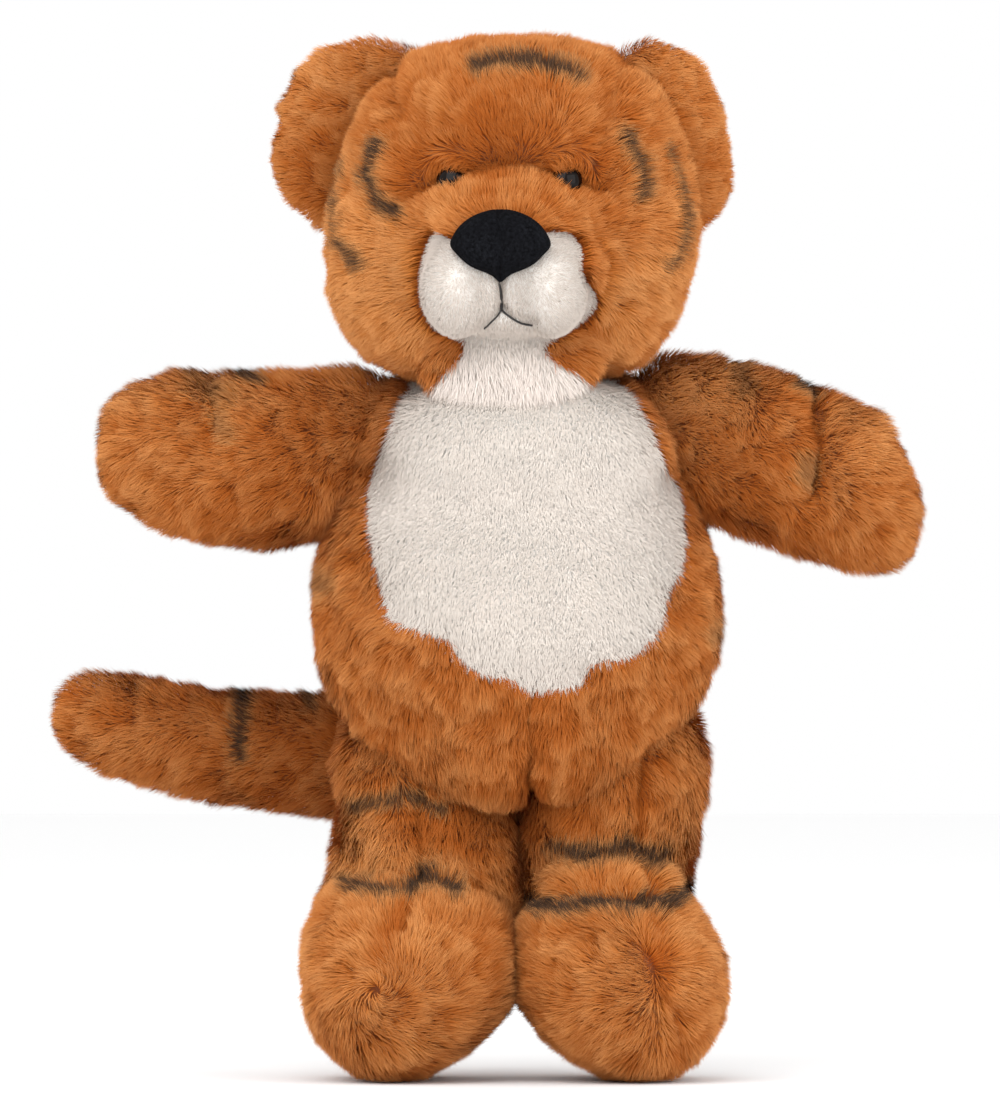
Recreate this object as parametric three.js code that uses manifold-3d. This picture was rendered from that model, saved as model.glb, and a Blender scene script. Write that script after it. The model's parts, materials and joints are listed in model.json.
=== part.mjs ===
// A stuffed plush tiger that stands on the soles of its feet: sewn skins of pile fabric over fibre filling.
// Millimetres, +Z up, the face looking along -Y. "Left" is the -X side, the left as the toy is seen.
// Every outer surface is where the tips of the pile lie. The head, arms, legs, tail and ears each
// turn about the seam that joins them on, where a ball of filling fills the opening.
import * as THREE from "three";
import { mergeVertices } from "three/addons/utils/BufferGeometryUtils.js";
import Module from "manifold-3d";

const wasm = await Module();
wasm.setup();

// Fabric and fits
const SKIN = 4; // backing and the dense foot of the pile
const SEAM_GAP = 0.3; // between two panels that are sewn together
const FIT = 0.3; // between a skin and what it holds or carries
const SWING_CLEARANCE = 1.3; // between a limb and what it passes as it swings
const CUT_OVERRUN = 400; // how far a flat cut runs past the toy

// Body, from its lowest point to the top of the shoulders
const BODY_FOOT = 86; // above the surface that the toy stands on
const BODY_HEIGHT = 150;
const BODY_WIDTH = 140;
const BODY_DEPTH = 104;
const SIDE_SEAM_BACK = 6; // the side seams, behind the middle of the body
const BELLY_WIDTH = 101;
const BELLY_HEIGHT = 102;
const BELLY_RISE = 43; // the lowest edge of the white panel above the body's foot
const BELLY_OFFSET = 4; // the white panel sits a little to the right

// Neck and head
const NECK_SINK = 2; // the centre of the neck below the top of the body
const NECK_BACK = 2;
const NECK_RADIUS = 19;
const NECK_HEM = 3; // from the neck's filling to the edge of the head's skin
const HEAD_HEIGHT = 119;
const HEAD_WIDTH = 126;
const HEAD_DEPTH = 100;
const HEAD_SINK = 4; // the lowest point of the head below the centre of the neck
const HEAD_FORWARD = 6; // the middle of the head ahead of the neck
const HEAD_TURN = -3.4; // degrees, the way that the sewn head faces at rest
const NOD_DOWN = 16; // degrees
const NOD_UP = 12;
const TURN_EACH_WAY = 35;
const GUSSET_WIDTH = 28; // the strip over the top of the head

// Snout, muzzle, nose and mouth
const SNOUT_LENGTH = 52;
const SNOUT_WIDTH = 64;
const SNOUT_HEIGHT = 54;
const SNOUT_REACH = 16; // ahead of the head's front
const SNOUT_DROP = 21; // below the middle of the head
const MUZZLE_WIDTH = 60;
const MUZZLE_TOP = 13; // above the middle of the snout
const NOSE_WIDTH = 32;
const NOSE_HEIGHT = 24;
const NOSE_DEPTH = 18;
const NOSE_RISE = 7.5; // above the middle of the snout
const NOSE_SINK = 4; // the middle of the nose pad behind the tip of the snout
const THREAD_RADIUS = 1;
const MOUTH_DROP = 10; // the parting below the nose
const MOUTH_HALF_WIDTH = 9;
const MOUTH_FALL = 4.5;
const MOUTH_BOW_SHARE = 0.7; // how much of the fall is reached half way out

// Eyes
const EYE_DIAMETER = 10.5;
const EYE_DOME = 4; // how far the dome stands out
const EYE_EDGE = 1; // the straight rim under the dome
const EYE_STEPS = 3;
const EYE_SIDES = 10;
const EYE_SPACING = 43;
const EYE_RISE = 9; // above the middle of the head
const EYE_SINK = 7; // the seat of the eye below the tips of the pile
const STEM_DIAMETER = 4;
const STEM_LENGTH = 9;
const WASHER_DIAMETER = 15;
const WASHER_THICKNESS = 1.6;
const WASHER_SINK = 4; // behind the seat of the eye, past what is drawn in with it

// Ears
const EAR_SPAN = 66; // along the seam that joins the ear on
const EAR_REACH = 33; // from the seam to the rim
const EAR_THICKNESS = 17;
const EAR_SPREAD = 50; // the middle of the seam from the middle of the head
const EAR_RISE = 24; // above the middle of the head
const EAR_BACK = 4;
const EAR_LEAN = 24; // degrees, the seam from upright
const EAR_FOLD = 20; // degrees, each way
const EAR_CLEARANCE = 0.5; // between the sewn edge and the head
const EAR_SWING_STEP = 10; // degrees

// Arms
const SHOULDER_SPREAD = 52;
const SHOULDER_RISE = 125; // above the body's foot
const SHOULDER_RADIUS = 21;
const ARM_LENGTH = 88; // from the shoulder's centre to the tip
const ARM_HEIGHT = 57;
const ARM_DEPTH = 50;
const ARM_LEFT_REST = -1; // degrees above level
const ARM_RIGHT_REST = -12;
const ARM_HIGHEST = 18;
const ARM_LOWEST = -32;

// Legs and feet
const HIP_SPREAD = 33;
const HIP_RISE = 10; // above the body's foot
const HIP_FORWARD = 4; // the hip's centre ahead of the middle of the body
const HIP_RADIUS = 20;
const LEG_GAP = 1; // between the two legs
const LEG_BACK = 3; // the middle of the leg behind the middle of the body
const LEG_WIDTH = 58;
const LEG_DEPTH = 52;
const LEG_TOP = 42; // the top of the leg, beside the belly, above the body's foot
const LEG_BOTTOM = 24; // where the leg ends inside the foot, above the floor
const FOOT_LENGTH = 91;
const FOOT_WIDTH = 69;
const FOOT_HEIGHT = 74;
const FOOT_HEEL = 32; // the heel behind the middle of the body
const SOLE_PRESS = 0.5; // how deep the sole is pressed flat
const LEG_FORWARD_SWING = 26; // degrees
const LEG_BACK_SWING = 12;

// Tail
const TAIL_BACK = 42; // the centre of its root behind the middle of the body
const TAIL_RISE = 21; // above the body's foot
const TAIL_RADIUS = 17; // the ball in its opening
const TAIL_LENGTH = 157; // from the root's centre to the tip
const TAIL_WIDTH = 45;
const TAIL_LIFT = 5; // degrees, the rise towards the tip
const TAIL_WAG = 140; // degrees, from its rest round to the other side

// Rings along a form and sides around it
const BIG_GRID = { rings: 10, sides: 14 };
const LIMB_GRID = { rings: 8, sides: 10 };
const FOOT_GRID = { rings: 8, sides: 10, flatUnder: true }; // a flat facet, not an edge, lies underneath
const SMALL_GRID = { rings: 6, sides: 10 };
const BALL_SIDES = 12; // round the axis that the ball turns about
const BALL_RINGS = 4;
const OUTLINE_STEPS = 16; // round the belly panel and the muzzle
const SWING_STEP = 30; // degrees between the places at which a clearance is cut

// Each row of a form's shares: the share along it, the swell of its width, the swell of its depth, and
// the shift of its middle across and deep, as shares of half its width and half its depth.
const BODY_SHARES = [
  [0, 0.9, 0.9, 0, 0.16],
  [0.07, 1.03, 1, 0, 0.12],
  [0.2, 1.05, 1.05, 0, 0.04],
  [0.4, 1.02, 1.04, 0, -0.05],
  [0.61, 0.965, 0.97, 0, -0.03],
  [0.76, 1, 0.93, 0, 0],
  [0.86, 1.08, 0.96, 0, 0.03],
  [0.94, 1.2, 1, 0, 0.03],
  [1, 1.25, 1, 0, 0.03],
];
const HEAD_SHARES = [
  [0, 1.1, 1, 0, 0],
  [0.08, 1.17, 1.04, 0, 0],
  [0.17, 1.1, 1.03, 0, 0],
  [0.3, 1.03, 1.01, 0, 0],
  [0.49, 0.985, 1, 0, 0],
  [0.67, 0.957, 1, 0, 0],
  [0.82, 0.97, 1, 0, 0],
  [1, 1.02, 1, 0, 0],
];
const SNOUT_SHARES = [
  [0, 0.9, 0.9, 0, 0],
  [0.5, 1, 1, 0, 0],
  [0.8, 0.98, 0.96, 0, 0],
  [1, 0.95, 0.9, 0, 0],
];
const NOSE_SHARES = [
  [0, 0.4, 0.9, 0, 0],
  [0.35, 0.72, 1, 0, 0],
  [0.7, 1.02, 1, 0, 0],
  [1, 1.1, 0.9, 0, 0],
];
const EAR_SHARES = [
  [0, 1, 0.7, 0, 0],
  [0.5, 1, 0.72, 0, 0],
  [0.75, 1, 1, 0, 0],
  [1, 1, 1, 0, 0],
];
const ARM_SHARES = [
  [0, 0.8, 0.9, 0, 0],
  [0.2, 0.9, 0.96, 0, 0],
  [0.45, 0.99, 1, 0, 0],
  [0.75, 1.02, 1, 0, 0],
  [1, 0.96, 0.95, 0, 0],
];
const LEG_SHARES = [
  [0, 0.9, 0.9, 0, 0.1],
  [0.45, 0.97, 0.94, 0, 0.1],
  [0.7, 1, 1, 0, 0],
  [0.85, 1, 1, 0.03, 0],
  [1, 0.8, 0.9, -0.3, 0.1],
];
const FOOT_SHARES = [
  [0, 0.9, 0.9, 0, -0.25],
  [0.03, 0.92, 0.92, 0, -0.27],
  [0.12, 0.95, 0.95, 0, -0.2],
  [0.25, 0.99, 1.02, 0, -0.067],
  [0.5, 1, 1.005, 0, 0],
  [0.75, 1, 1, 0, -0.085],
  [0.88, 0.99, 0.97, 0, -0.15],
  [0.97, 0.98, 0.93, 0, -0.02],
  [1, 0.98, 0.93, 0, 0.05],
];
const TAIL_SHARES = [
  [0, 0.7, 0.7, 0, 0],
  [0.12, 0.93, 0.93, 0, 0.4],
  [0.25, 1, 1, 0, 0.84],
  [0.42, 0.98, 0.98, 0, 0.9],
  [0.7, 0.88, 0.88, 0, 0.6],
  [0.9, 0.8, 0.8, 0, 0.35],
  [1, 0.78, 0.78, 0, 0.3],
];

// The outline of the white belly panel, as shares of half its width across and of its height up
const BELLY_OUTLINE_SHARES = [
  [-0.3, 0.045],
  [0.2, 0],
  [0.6, 0.06],
  [0.95, 0.27],
  [1, 0.53],
  [0.66, 0.82],
  [0.34, 1.08],
  [-0.5, 1.08],
  [-0.78, 0.82],
  [-1, 0.6],
  [-0.9, 0.27],
  [-0.55, 0.1],
];

// The muzzle's outline, as shares of half its width across and of its height up
const MUZZLE_OUTLINE_SHARES = [
  [0.35, 1],
  [-0.35, 1],
  [-0.85, 0.93],
  [-1, 0.7],
  [-0.86, 0.43],
  [-0.66, 0.27],
  [-0.74, 0],
  [0.74, 0],
  [0.66, 0.27],
  [0.86, 0.43],
  [1, 0.7],
  [0.85, 0.93],
];

const radians = THREE.MathUtils.degToRad;
const UP = new THREE.Vector3(0, 0, 1);
const ACROSS = new THREE.Vector3(1, 0, 0);
const FORWARD = new THREE.Vector3(0, -1, 0);
const BACKWARD = new THREE.Vector3(0, 1, 0);

const vec = (x, y, z) => new THREE.Vector3(x, y, z);

// Places worked out from the sizes
const neck = vec(0, NECK_BACK, BODY_FOOT + BODY_HEIGHT - NECK_SINK);
const headMiddle = vec(0, NECK_BACK - HEAD_FORWARD, neck.z - HEAD_SINK + HEAD_HEIGHT / 2);
const snoutMiddle = headMiddle.z - SNOUT_DROP;
const snoutTip = headMiddle.y - HEAD_DEPTH / 2 - SNOUT_REACH;
const shoulderAt = (side) => vec(side * SHOULDER_SPREAD, 0, BODY_FOOT + SHOULDER_RISE);
const hipAt = (side) => vec(side * HIP_SPREAD, -HIP_FORWARD, BODY_FOOT + HIP_RISE);
const tailRoot = vec(0, TAIL_BACK, BODY_FOOT + TAIL_RISE);
const earAt = (side) => vec(side * EAR_SPREAD, headMiddle.y + EAR_BACK, headMiddle.z + EAR_RISE);

// The forms, each from its start to its tip along its own axis
const BODY = {
  length: BODY_HEIGHT, width: BODY_WIDTH, depth: BODY_DEPTH, bluntShare: 1, squareShare: 1,
  shares: BODY_SHARES, grid: BIG_GRID,
};
const HEAD = {
  length: HEAD_HEIGHT, width: HEAD_WIDTH, depth: HEAD_DEPTH, bluntShare: 0.7, squareShare: 1,
  shares: HEAD_SHARES, grid: BIG_GRID,
};
const SNOUT = {
  length: SNOUT_LENGTH, width: SNOUT_WIDTH, depth: SNOUT_HEIGHT, bluntShare: 0.7, squareShare: 1,
  shares: SNOUT_SHARES, grid: LIMB_GRID,
};
const NOSE = {
  length: NOSE_HEIGHT, width: NOSE_WIDTH, depth: NOSE_DEPTH, bluntShare: 0.7, squareShare: 1,
  shares: NOSE_SHARES, grid: SMALL_GRID,
};
const EAR = {
  length: EAR_REACH * 2, width: EAR_SPAN, depth: EAR_THICKNESS, bluntShare: 0.9, squareShare: 1,
  shares: EAR_SHARES, grid: SMALL_GRID,
};
const ARM = {
  length: ARM_LENGTH + SHOULDER_RADIUS, width: ARM_HEIGHT, depth: ARM_DEPTH, bluntShare: 0.6, squareShare: 1,
  shares: ARM_SHARES, grid: LIMB_GRID,
};
const LEG = {
  length: BODY_FOOT + LEG_TOP - LEG_BOTTOM, width: LEG_WIDTH, depth: LEG_DEPTH, bluntShare: 0.5,
  squareShare: 1, shares: LEG_SHARES, grid: LIMB_GRID,
};
const FOOT = {
  length: FOOT_LENGTH, width: FOOT_WIDTH, depth: FOOT_HEIGHT, bluntShare: 0.62, squareShare: 0.85,
  shares: FOOT_SHARES, grid: FOOT_GRID,
};
const TAIL = {
  length: TAIL_LENGTH + TAIL_RADIUS, width: TAIL_WIDTH, depth: TAIL_WIDTH, bluntShare: 0.4, squareShare: 1,
  shares: TAIL_SHARES, grid: LIMB_GRID,
};

// The values of a table of shares at a share along it, on one smooth curve through its rows.
function readShares(table, along) {
  let next = 1;
  while (next < table.length - 1 && along > table[next][0]) next += 1;
  const from = table[next - 1];
  const to = table[next];
  const before = table[next - 2] ?? from;
  const after = table[next + 1] ?? to;
  const gap = to[0] - from[0];
  const u = (along - from[0]) / gap;
  return from.slice(1).map((start, k) => {
    const end = to[k + 1];
    const slopeIn = ((end - before[k + 1]) / (to[0] - before[0])) * gap;
    const slopeOut = ((after[k + 1] - start) / (after[0] - from[0])) * gap;
    return THREE.MathUtils.lerp(start, end, u * u * (3 - 2 * u))
      + u * (1 - u) * ((1 - u) * slopeIn - u * slopeOut);
  });
}

// A closed padded form along +Z from its start at 0: rings that swell and taper between two round ends.
// inset draws the whole surface in, for a lining or a filling; below zero it grows the form.
function stuffedForm(form, inset = 0) {
  const { length, width, depth, bluntShare, squareShare, shares, grid } = form;
  const points = [];
  const faces = [];
  const power = (value, share) => Math.sign(value) * Math.abs(value) ** share;
  const facetShare = grid.flatUnder ? Math.cos(Math.PI / grid.sides) ** squareShare : 1;
  for (let ring = 0; ring <= grid.rings; ring += 1) {
    const turn = (Math.PI * ring) / grid.rings;
    const z = length / 2 - (length / 2 - inset) * Math.cos(turn);
    const [wide, deep, shiftAcross, shiftDeep] = readShares(shares, z / length);
    const round = ring % grid.rings ? Math.sin(turn) ** bluntShare : 0;
    const sides = round ? grid.sides : 1;
    for (let side = 0; side < sides; side += 1) {
      const angle = grid.flatUnder
        ? (2 * Math.PI * (side + 1 / 2)) / grid.sides - Math.PI / 2
        : (2 * Math.PI * side) / grid.sides;
      points.push(
        (shiftAcross * width) / 2
          + round * ((wide * width) / 2 - inset) * power(Math.cos(angle), squareShare),
        (shiftDeep * depth) / 2
          + (round * ((deep * depth) / 2 - inset) * power(Math.sin(angle), squareShare)) / facetShare,
        z,
      );
    }
  }
  const at = (ring, side) => {
    if (ring === 0) return 0;
    if (ring === grid.rings) return points.length / 3 - 1;
    return 1 + (ring - 1) * grid.sides + (side % grid.sides);
  };
  for (let ring = 0; ring < grid.rings; ring += 1) {
    for (let side = 0; side < grid.sides; side += 1) {
      const [a, b, c, d] = [at(ring, side), at(ring, side + 1), at(ring + 1, side + 1), at(ring + 1, side)];
      if (ring > 0) faces.push(a, b, c);
      if (ring < grid.rings - 1) faces.push(a, c, d);
    }
  }
  return geometryOf(points, faces);
}

function geometryOf(points, faces) {
  const geometry = new THREE.BufferGeometry();
  geometry.setAttribute("position", new THREE.Float32BufferAttribute(points, 3));
  geometry.setIndex(faces);
  return geometry;
}

// The place of a form that starts at a point, with its axis along one direction and its width across another.
function placeAlong(start, along, across) {
  const axis = along.clone().normalize();
  const deep = axis.clone().cross(across).normalize();
  const wide = deep.clone().cross(axis);
  return new THREE.Matrix4().makeBasis(wide, deep, axis).setPosition(start);
}

// A solid from a geometry, for joining and cutting.
function solidOf(geometry, place = new THREE.Matrix4()) {
  const bare = geometry.clone().applyMatrix4(place);
  bare.deleteAttribute("normal");
  bare.deleteAttribute("uv");
  const merged = mergeVertices(bare);
  return new wasm.Manifold(new wasm.Mesh({
    numProp: 3,
    vertProperties: merged.attributes.position.array,
    triVerts: new Uint32Array(merged.index.array),
  }));
}

const formSolid = (form, place, inset = 0) => solidOf(stuffedForm(form, inset), place);

// A ball with facets round an axis. Its socket has the same facets, half a step on and larger, so that the
// ball's edges run past the socket's faces with a fit's gap as it turns about that axis.
function ball(centre, radius, axis, start = 0) {
  const geometry = new THREE.SphereGeometry(radius, BALL_SIDES, BALL_RINGS, start);
  const turn = new THREE.Quaternion().setFromUnitVectors(BACKWARD, axis);
  return solidOf(geometry, new THREE.Matrix4().makeRotationFromQuaternion(turn).setPosition(centre));
}

function socket(centre, radius, axis) {
  const halfFacet = Math.PI / BALL_SIDES;
  return ball(centre, (radius + FIT) / Math.cos(halfFacet), axis, halfFacet);
}

// Everything on one side of a plane through a point, the side that the direction points to.
function beyond(point, direction) {
  const block = new THREE.BoxGeometry(CUT_OVERRUN * 2, CUT_OVERRUN * 2, CUT_OVERRUN);
  block.translate(0, 0, CUT_OVERRUN / 2);
  const turn = new THREE.Quaternion().setFromUnitVectors(UP, direction.clone().normalize());
  return solidOf(block, new THREE.Matrix4().makeRotationFromQuaternion(turn).setPosition(point));
}

// The turn about an axis through a point, as a matrix.
function turnAbout(point, axis, degrees) {
  return new THREE.Matrix4()
    .makeTranslation(point)
    .multiply(new THREE.Matrix4().makeRotationAxis(axis, radians(degrees)))
    .multiply(new THREE.Matrix4().makeTranslation(point.clone().negate()));
}

// The angles from one to another, both included, no further apart than a step.
function swingAngles(from, to, step = SWING_STEP) {
  const steps = Math.ceil((to - from) / step);
  return Array.from({ length: steps + 1 }, (_, i) => THREE.MathUtils.lerp(from, to, i / steps));
}

// What a moving piece must stay clear of through its whole swing: the obstacle turned back by every angle.
function sweptObstacle(obstacle, place, point, axis, angles) {
  return angles
    .map((angle) => solidOf(obstacle, turnAbout(point, axis, -angle).multiply(place)))
    .reduce((whole, turned) => whole.add(turned));
}

// A limb's skin and filling. The limb keeps clear of the body as it swings, except for the ball in its
// opening. The ball's inner end is cut off, so that the skin is open there and the two fillings meet.
function makeLimb({ shape, centre, radius, axis, sweep, opening, floor }) {
  const layer = (inset) => {
    let solid = shape(inset).subtract(sweep(SWING_CLEARANCE + inset)).add(ball(centre, radius - inset, axis));
    if (floor) solid = solid.subtract(beyond(vec(0, 0, inset), UP.clone().negate()));
    return solid;
  };
  const rootCut = beyond(centre.clone().addScaledVector(opening, radius / 2), opening)
    .intersect(ball(centre, radius + SKIN, axis));
  return {
    skin: layer(0).subtract(layer(SKIN)).subtract(rootCut),
    filling: layer(SKIN + FIT).subtract(rootCut),
  };
}

// The two halves of a skin on either side of a seam.
function splitAtSeam(skin, point, direction) {
  const toSeam = direction.clone().multiplyScalar(SEAM_GAP / 2);
  const back = direction.clone().negate();
  return [
    skin.subtract(beyond(point.clone().sub(toSeam), direction)),
    skin.subtract(beyond(point.clone().add(toSeam), back)),
  ];
}

const fabric = (color) => new THREE.MeshStandardMaterial({ color, roughness: 0.95, metalness: 0 });
const ORANGE = 0xc4763a;
const WHITE = 0xf0e8dc;
const FIBRE = 0xf7f6f2;
const BLACK = 0x14141a;
const EYE_BROWN = 0x1c120c;
const WASHER_WHITE = 0xe4e4e0;

// Adds a piece to a group, in the group's own frame.
function addPiece(group, name, solid, material) {
  const { vertProperties, triVerts, numProp } = solid.getMesh();
  const points = [];
  for (let i = 0; i < vertProperties.length; i += numProp) points.push(...vertProperties.slice(i, i + 3));
  const geometry = geometryOf(points, Array.from(triVerts));
  group.updateWorldMatrix(true, false);
  geometry.applyMatrix4(group.matrixWorld.clone().invert());
  geometry.computeVertexNormals();
  const mesh = new THREE.Mesh(geometry, material);
  mesh.name = name;
  group.add(mesh);
}

// A group at a joint, under the group that carries it.
function groupAt(parent, point) {
  const group = new THREE.Group();
  group.position.copy(parent.worldToLocal(point.clone()));
  parent.add(group);
  group.updateWorldMatrix(true, false);
  return group;
}

const tiger = new THREE.Group();
const bodyPlace = placeAlong(vec(0, 0, BODY_FOOT), UP, ACROSS);

// What a limb on the body must clear through its swing, for a clearance.
const bodySwept = (point, axis, from, to) => (clearance) =>
  sweptObstacle(stuffedForm(BODY, -clearance), bodyPlace, point, axis, swingAngles(from, to));

function makeBody() {
  const sockets = [
    socket(neck, NECK_RADIUS, ACROSS),
    socket(shoulderAt(-1), SHOULDER_RADIUS, BACKWARD),
    socket(shoulderAt(1), SHOULDER_RADIUS, BACKWARD),
    socket(hipAt(-1), HIP_RADIUS, ACROSS),
    socket(hipAt(1), HIP_RADIUS, ACROSS),
    socket(tailRoot, TAIL_RADIUS, UP),
  ].reduce((whole, hollow) => whole.add(hollow));
  const shell = formSolid(BODY, bodyPlace).subtract(formSolid(BODY, bodyPlace, SKIN)).subtract(sockets);
  const [front, back] = splitAtSeam(shell, vec(0, SIDE_SEAM_BACK, 0), BACKWARD);

  const outline = BELLY_OUTLINE_SHARES.map(([across, up]) => new THREE.Vector2(
    BELLY_OFFSET + (across * BELLY_WIDTH) / 2,
    BODY_FOOT + BELLY_RISE + up * BELLY_HEIGHT,
  ));
  addPiece(tiger, "belly_panel", front.intersect(forwardBlock(roundShape(outline, 0), 0)), fabric(WHITE));

  const orangeFront = front.subtract(forwardBlock(roundShape(outline, SEAM_GAP), 0));
  const [frontLeft, frontRight] = splitAtSeam(orangeFront, vec(BELLY_OFFSET, 0, 0), ACROSS);
  const [backLeft, backRight] = splitAtSeam(back, vec(0, 0, 0), ACROSS);
  addPiece(tiger, "body_front_left", frontLeft, fabric(ORANGE));
  addPiece(tiger, "body_front_right", frontRight, fabric(ORANGE));
  addPiece(tiger, "body_back_left", backLeft, fabric(ORANGE));
  addPiece(tiger, "body_back_right", backRight, fabric(ORANGE));
  addPiece(tiger, "body_filling", formSolid(BODY, bodyPlace, SKIN + FIT).subtract(sockets), fabric(FIBRE));
}

// A round shape through an outline's corners, drawn out from its middle by a gap.
function roundShape(outline, gap) {
  const middle = outline.reduce((sum, corner) => sum.add(corner), new THREE.Vector2())
    .divideScalar(outline.length);
  const drawn = outline.map((corner) => corner.clone().add(corner.clone().sub(middle).setLength(gap)));
  const round = new THREE.SplineCurve([...drawn, drawn[0]]).getPoints(OUTLINE_STEPS);
  return new THREE.Shape(round.slice(1));
}

// A shape drawn in X and Z, made a block that runs forward from a plane.
function forwardBlock(shape, back, place) {
  const geometry = new THREE.ExtrudeGeometry(shape, { depth: CUT_OVERRUN, bevelEnabled: false });
  geometry.rotateX(Math.PI / 2);
  geometry.translate(0, back, 0);
  return solidOf(geometry, place);
}

// An arm, front and back panels and its filling, on a joint at the shoulder.
function makeArm(side, sideName, rest) {
  const centre = shoulderAt(side);
  const along = vec(side * Math.cos(radians(rest)), 0, Math.sin(radians(rest)));
  const start = centre.clone().addScaledVector(along, -SHOULDER_RADIUS);
  const place = placeAlong(start, along, UP);
  const raiseAxis = vec(0, -side, 0);
  const { skin, filling } = makeLimb({
    shape: (inset) => formSolid(ARM, place, inset),
    centre,
    radius: SHOULDER_RADIUS,
    axis: BACKWARD,
    sweep: bodySwept(centre, raiseAxis, ARM_LOWEST - rest, ARM_HIGHEST - rest),
    opening: along.clone().negate(),
  });
  const group = groupAt(tiger, centre);
  const [front, back] = splitAtSeam(skin, centre, BACKWARD);
  addPiece(group, `arm_front_${sideName}`, front, fabric(ORANGE));
  addPiece(group, `arm_back_${sideName}`, back, fabric(ORANGE));
  addPiece(group, `arm_filling_${sideName}`, filling, fabric(FIBRE));
}

// A leg with its foot: an upright tube that ends inside a foot lying forward, pressed flat underneath.
function makeLeg(side, sideName) {
  const centre = hipAt(side);
  const legMiddle = side * (LEG_GAP + LEG_WIDTH) / 2;
  const footMiddle = side * (LEG_GAP + FOOT_WIDTH) / 2;
  const legPlace = placeAlong(vec(legMiddle, LEG_BACK, LEG_BOTTOM), UP, vec(side, 0, 0));
  const footPlace = placeAlong(
    vec(footMiddle, FOOT_HEEL, FOOT_HEIGHT / 2 - SOLE_PRESS), FORWARD, ACROSS);
  const { skin, filling } = makeLimb({
    shape: (inset) => formSolid(LEG, legPlace, inset).add(formSolid(FOOT, footPlace, inset)),
    centre,
    radius: HIP_RADIUS,
    axis: ACROSS,
    sweep: bodySwept(centre, ACROSS, -LEG_FORWARD_SWING, LEG_BACK_SWING),
    opening: UP,
    floor: true,
  });
  const group = groupAt(tiger, centre);
  const [outer, inner] = splitAtSeam(skin, vec(legMiddle, 0, 0), vec(-side, 0, 0));
  addPiece(group, `leg_outer_${sideName}`, outer, fabric(ORANGE));
  addPiece(group, `leg_inner_${sideName}`, inner, fabric(ORANGE));
  addPiece(group, `leg_filling_${sideName}`, filling, fabric(FIBRE));
}

// The tail: out of the back, round behind the left hip and away to the left.
function makeTail() {
  const along = vec(-Math.cos(radians(TAIL_LIFT)), 0, Math.sin(radians(TAIL_LIFT)));
  const start = tailRoot.clone().addScaledVector(along, -TAIL_RADIUS);
  const place = placeAlong(start, along, UP);
  const { skin, filling } = makeLimb({
    shape: (inset) => formSolid(TAIL, place, inset),
    centre: tailRoot,
    radius: TAIL_RADIUS,
    axis: UP,
    sweep: bodySwept(tailRoot, UP, -TAIL_WAG, 0),
    opening: FORWARD,
  });
  const group = groupAt(tiger, tailRoot);
  addPiece(group, "tail_skin", skin, fabric(ORANGE));
  addPiece(group, "tail_filling", filling, fabric(FIBRE));
}

// The place of the sewn head, which faces a little to one side of the body
const facing = turnAbout(neck, UP, HEAD_TURN);
const headPlace = facing.clone().multiply(
  placeAlong(vec(0, headMiddle.y, neck.z - HEAD_SINK), UP, ACROSS));
const snoutPlace = facing.clone().multiply(
  placeAlong(vec(0, snoutTip + SNOUT_LENGTH, snoutMiddle), FORWARD, ACROSS));
const inFace = (direction) => direction.clone().transformDirection(facing);

const headForm = (inset) => formSolid(HEAD, headPlace, inset).add(formSolid(SNOUT, snoutPlace, inset));

// The body as the head meets it through every nod and turn
function headHollow(clearance) {
  const obstacle = stuffedForm(BODY, -clearance);
  return swingAngles(-NOD_UP, NOD_DOWN)
    .flatMap((nod) => swingAngles(-TURN_EACH_WAY, TURN_EACH_WAY).map((turn) =>
      turnAbout(neck, UP, -turn).multiply(turnAbout(neck, ACROSS, -nod)).multiply(bodyPlace)))
    .map((place) => solidOf(obstacle, place))
    .reduce((whole, turned) => whole.add(turned));
}

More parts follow.
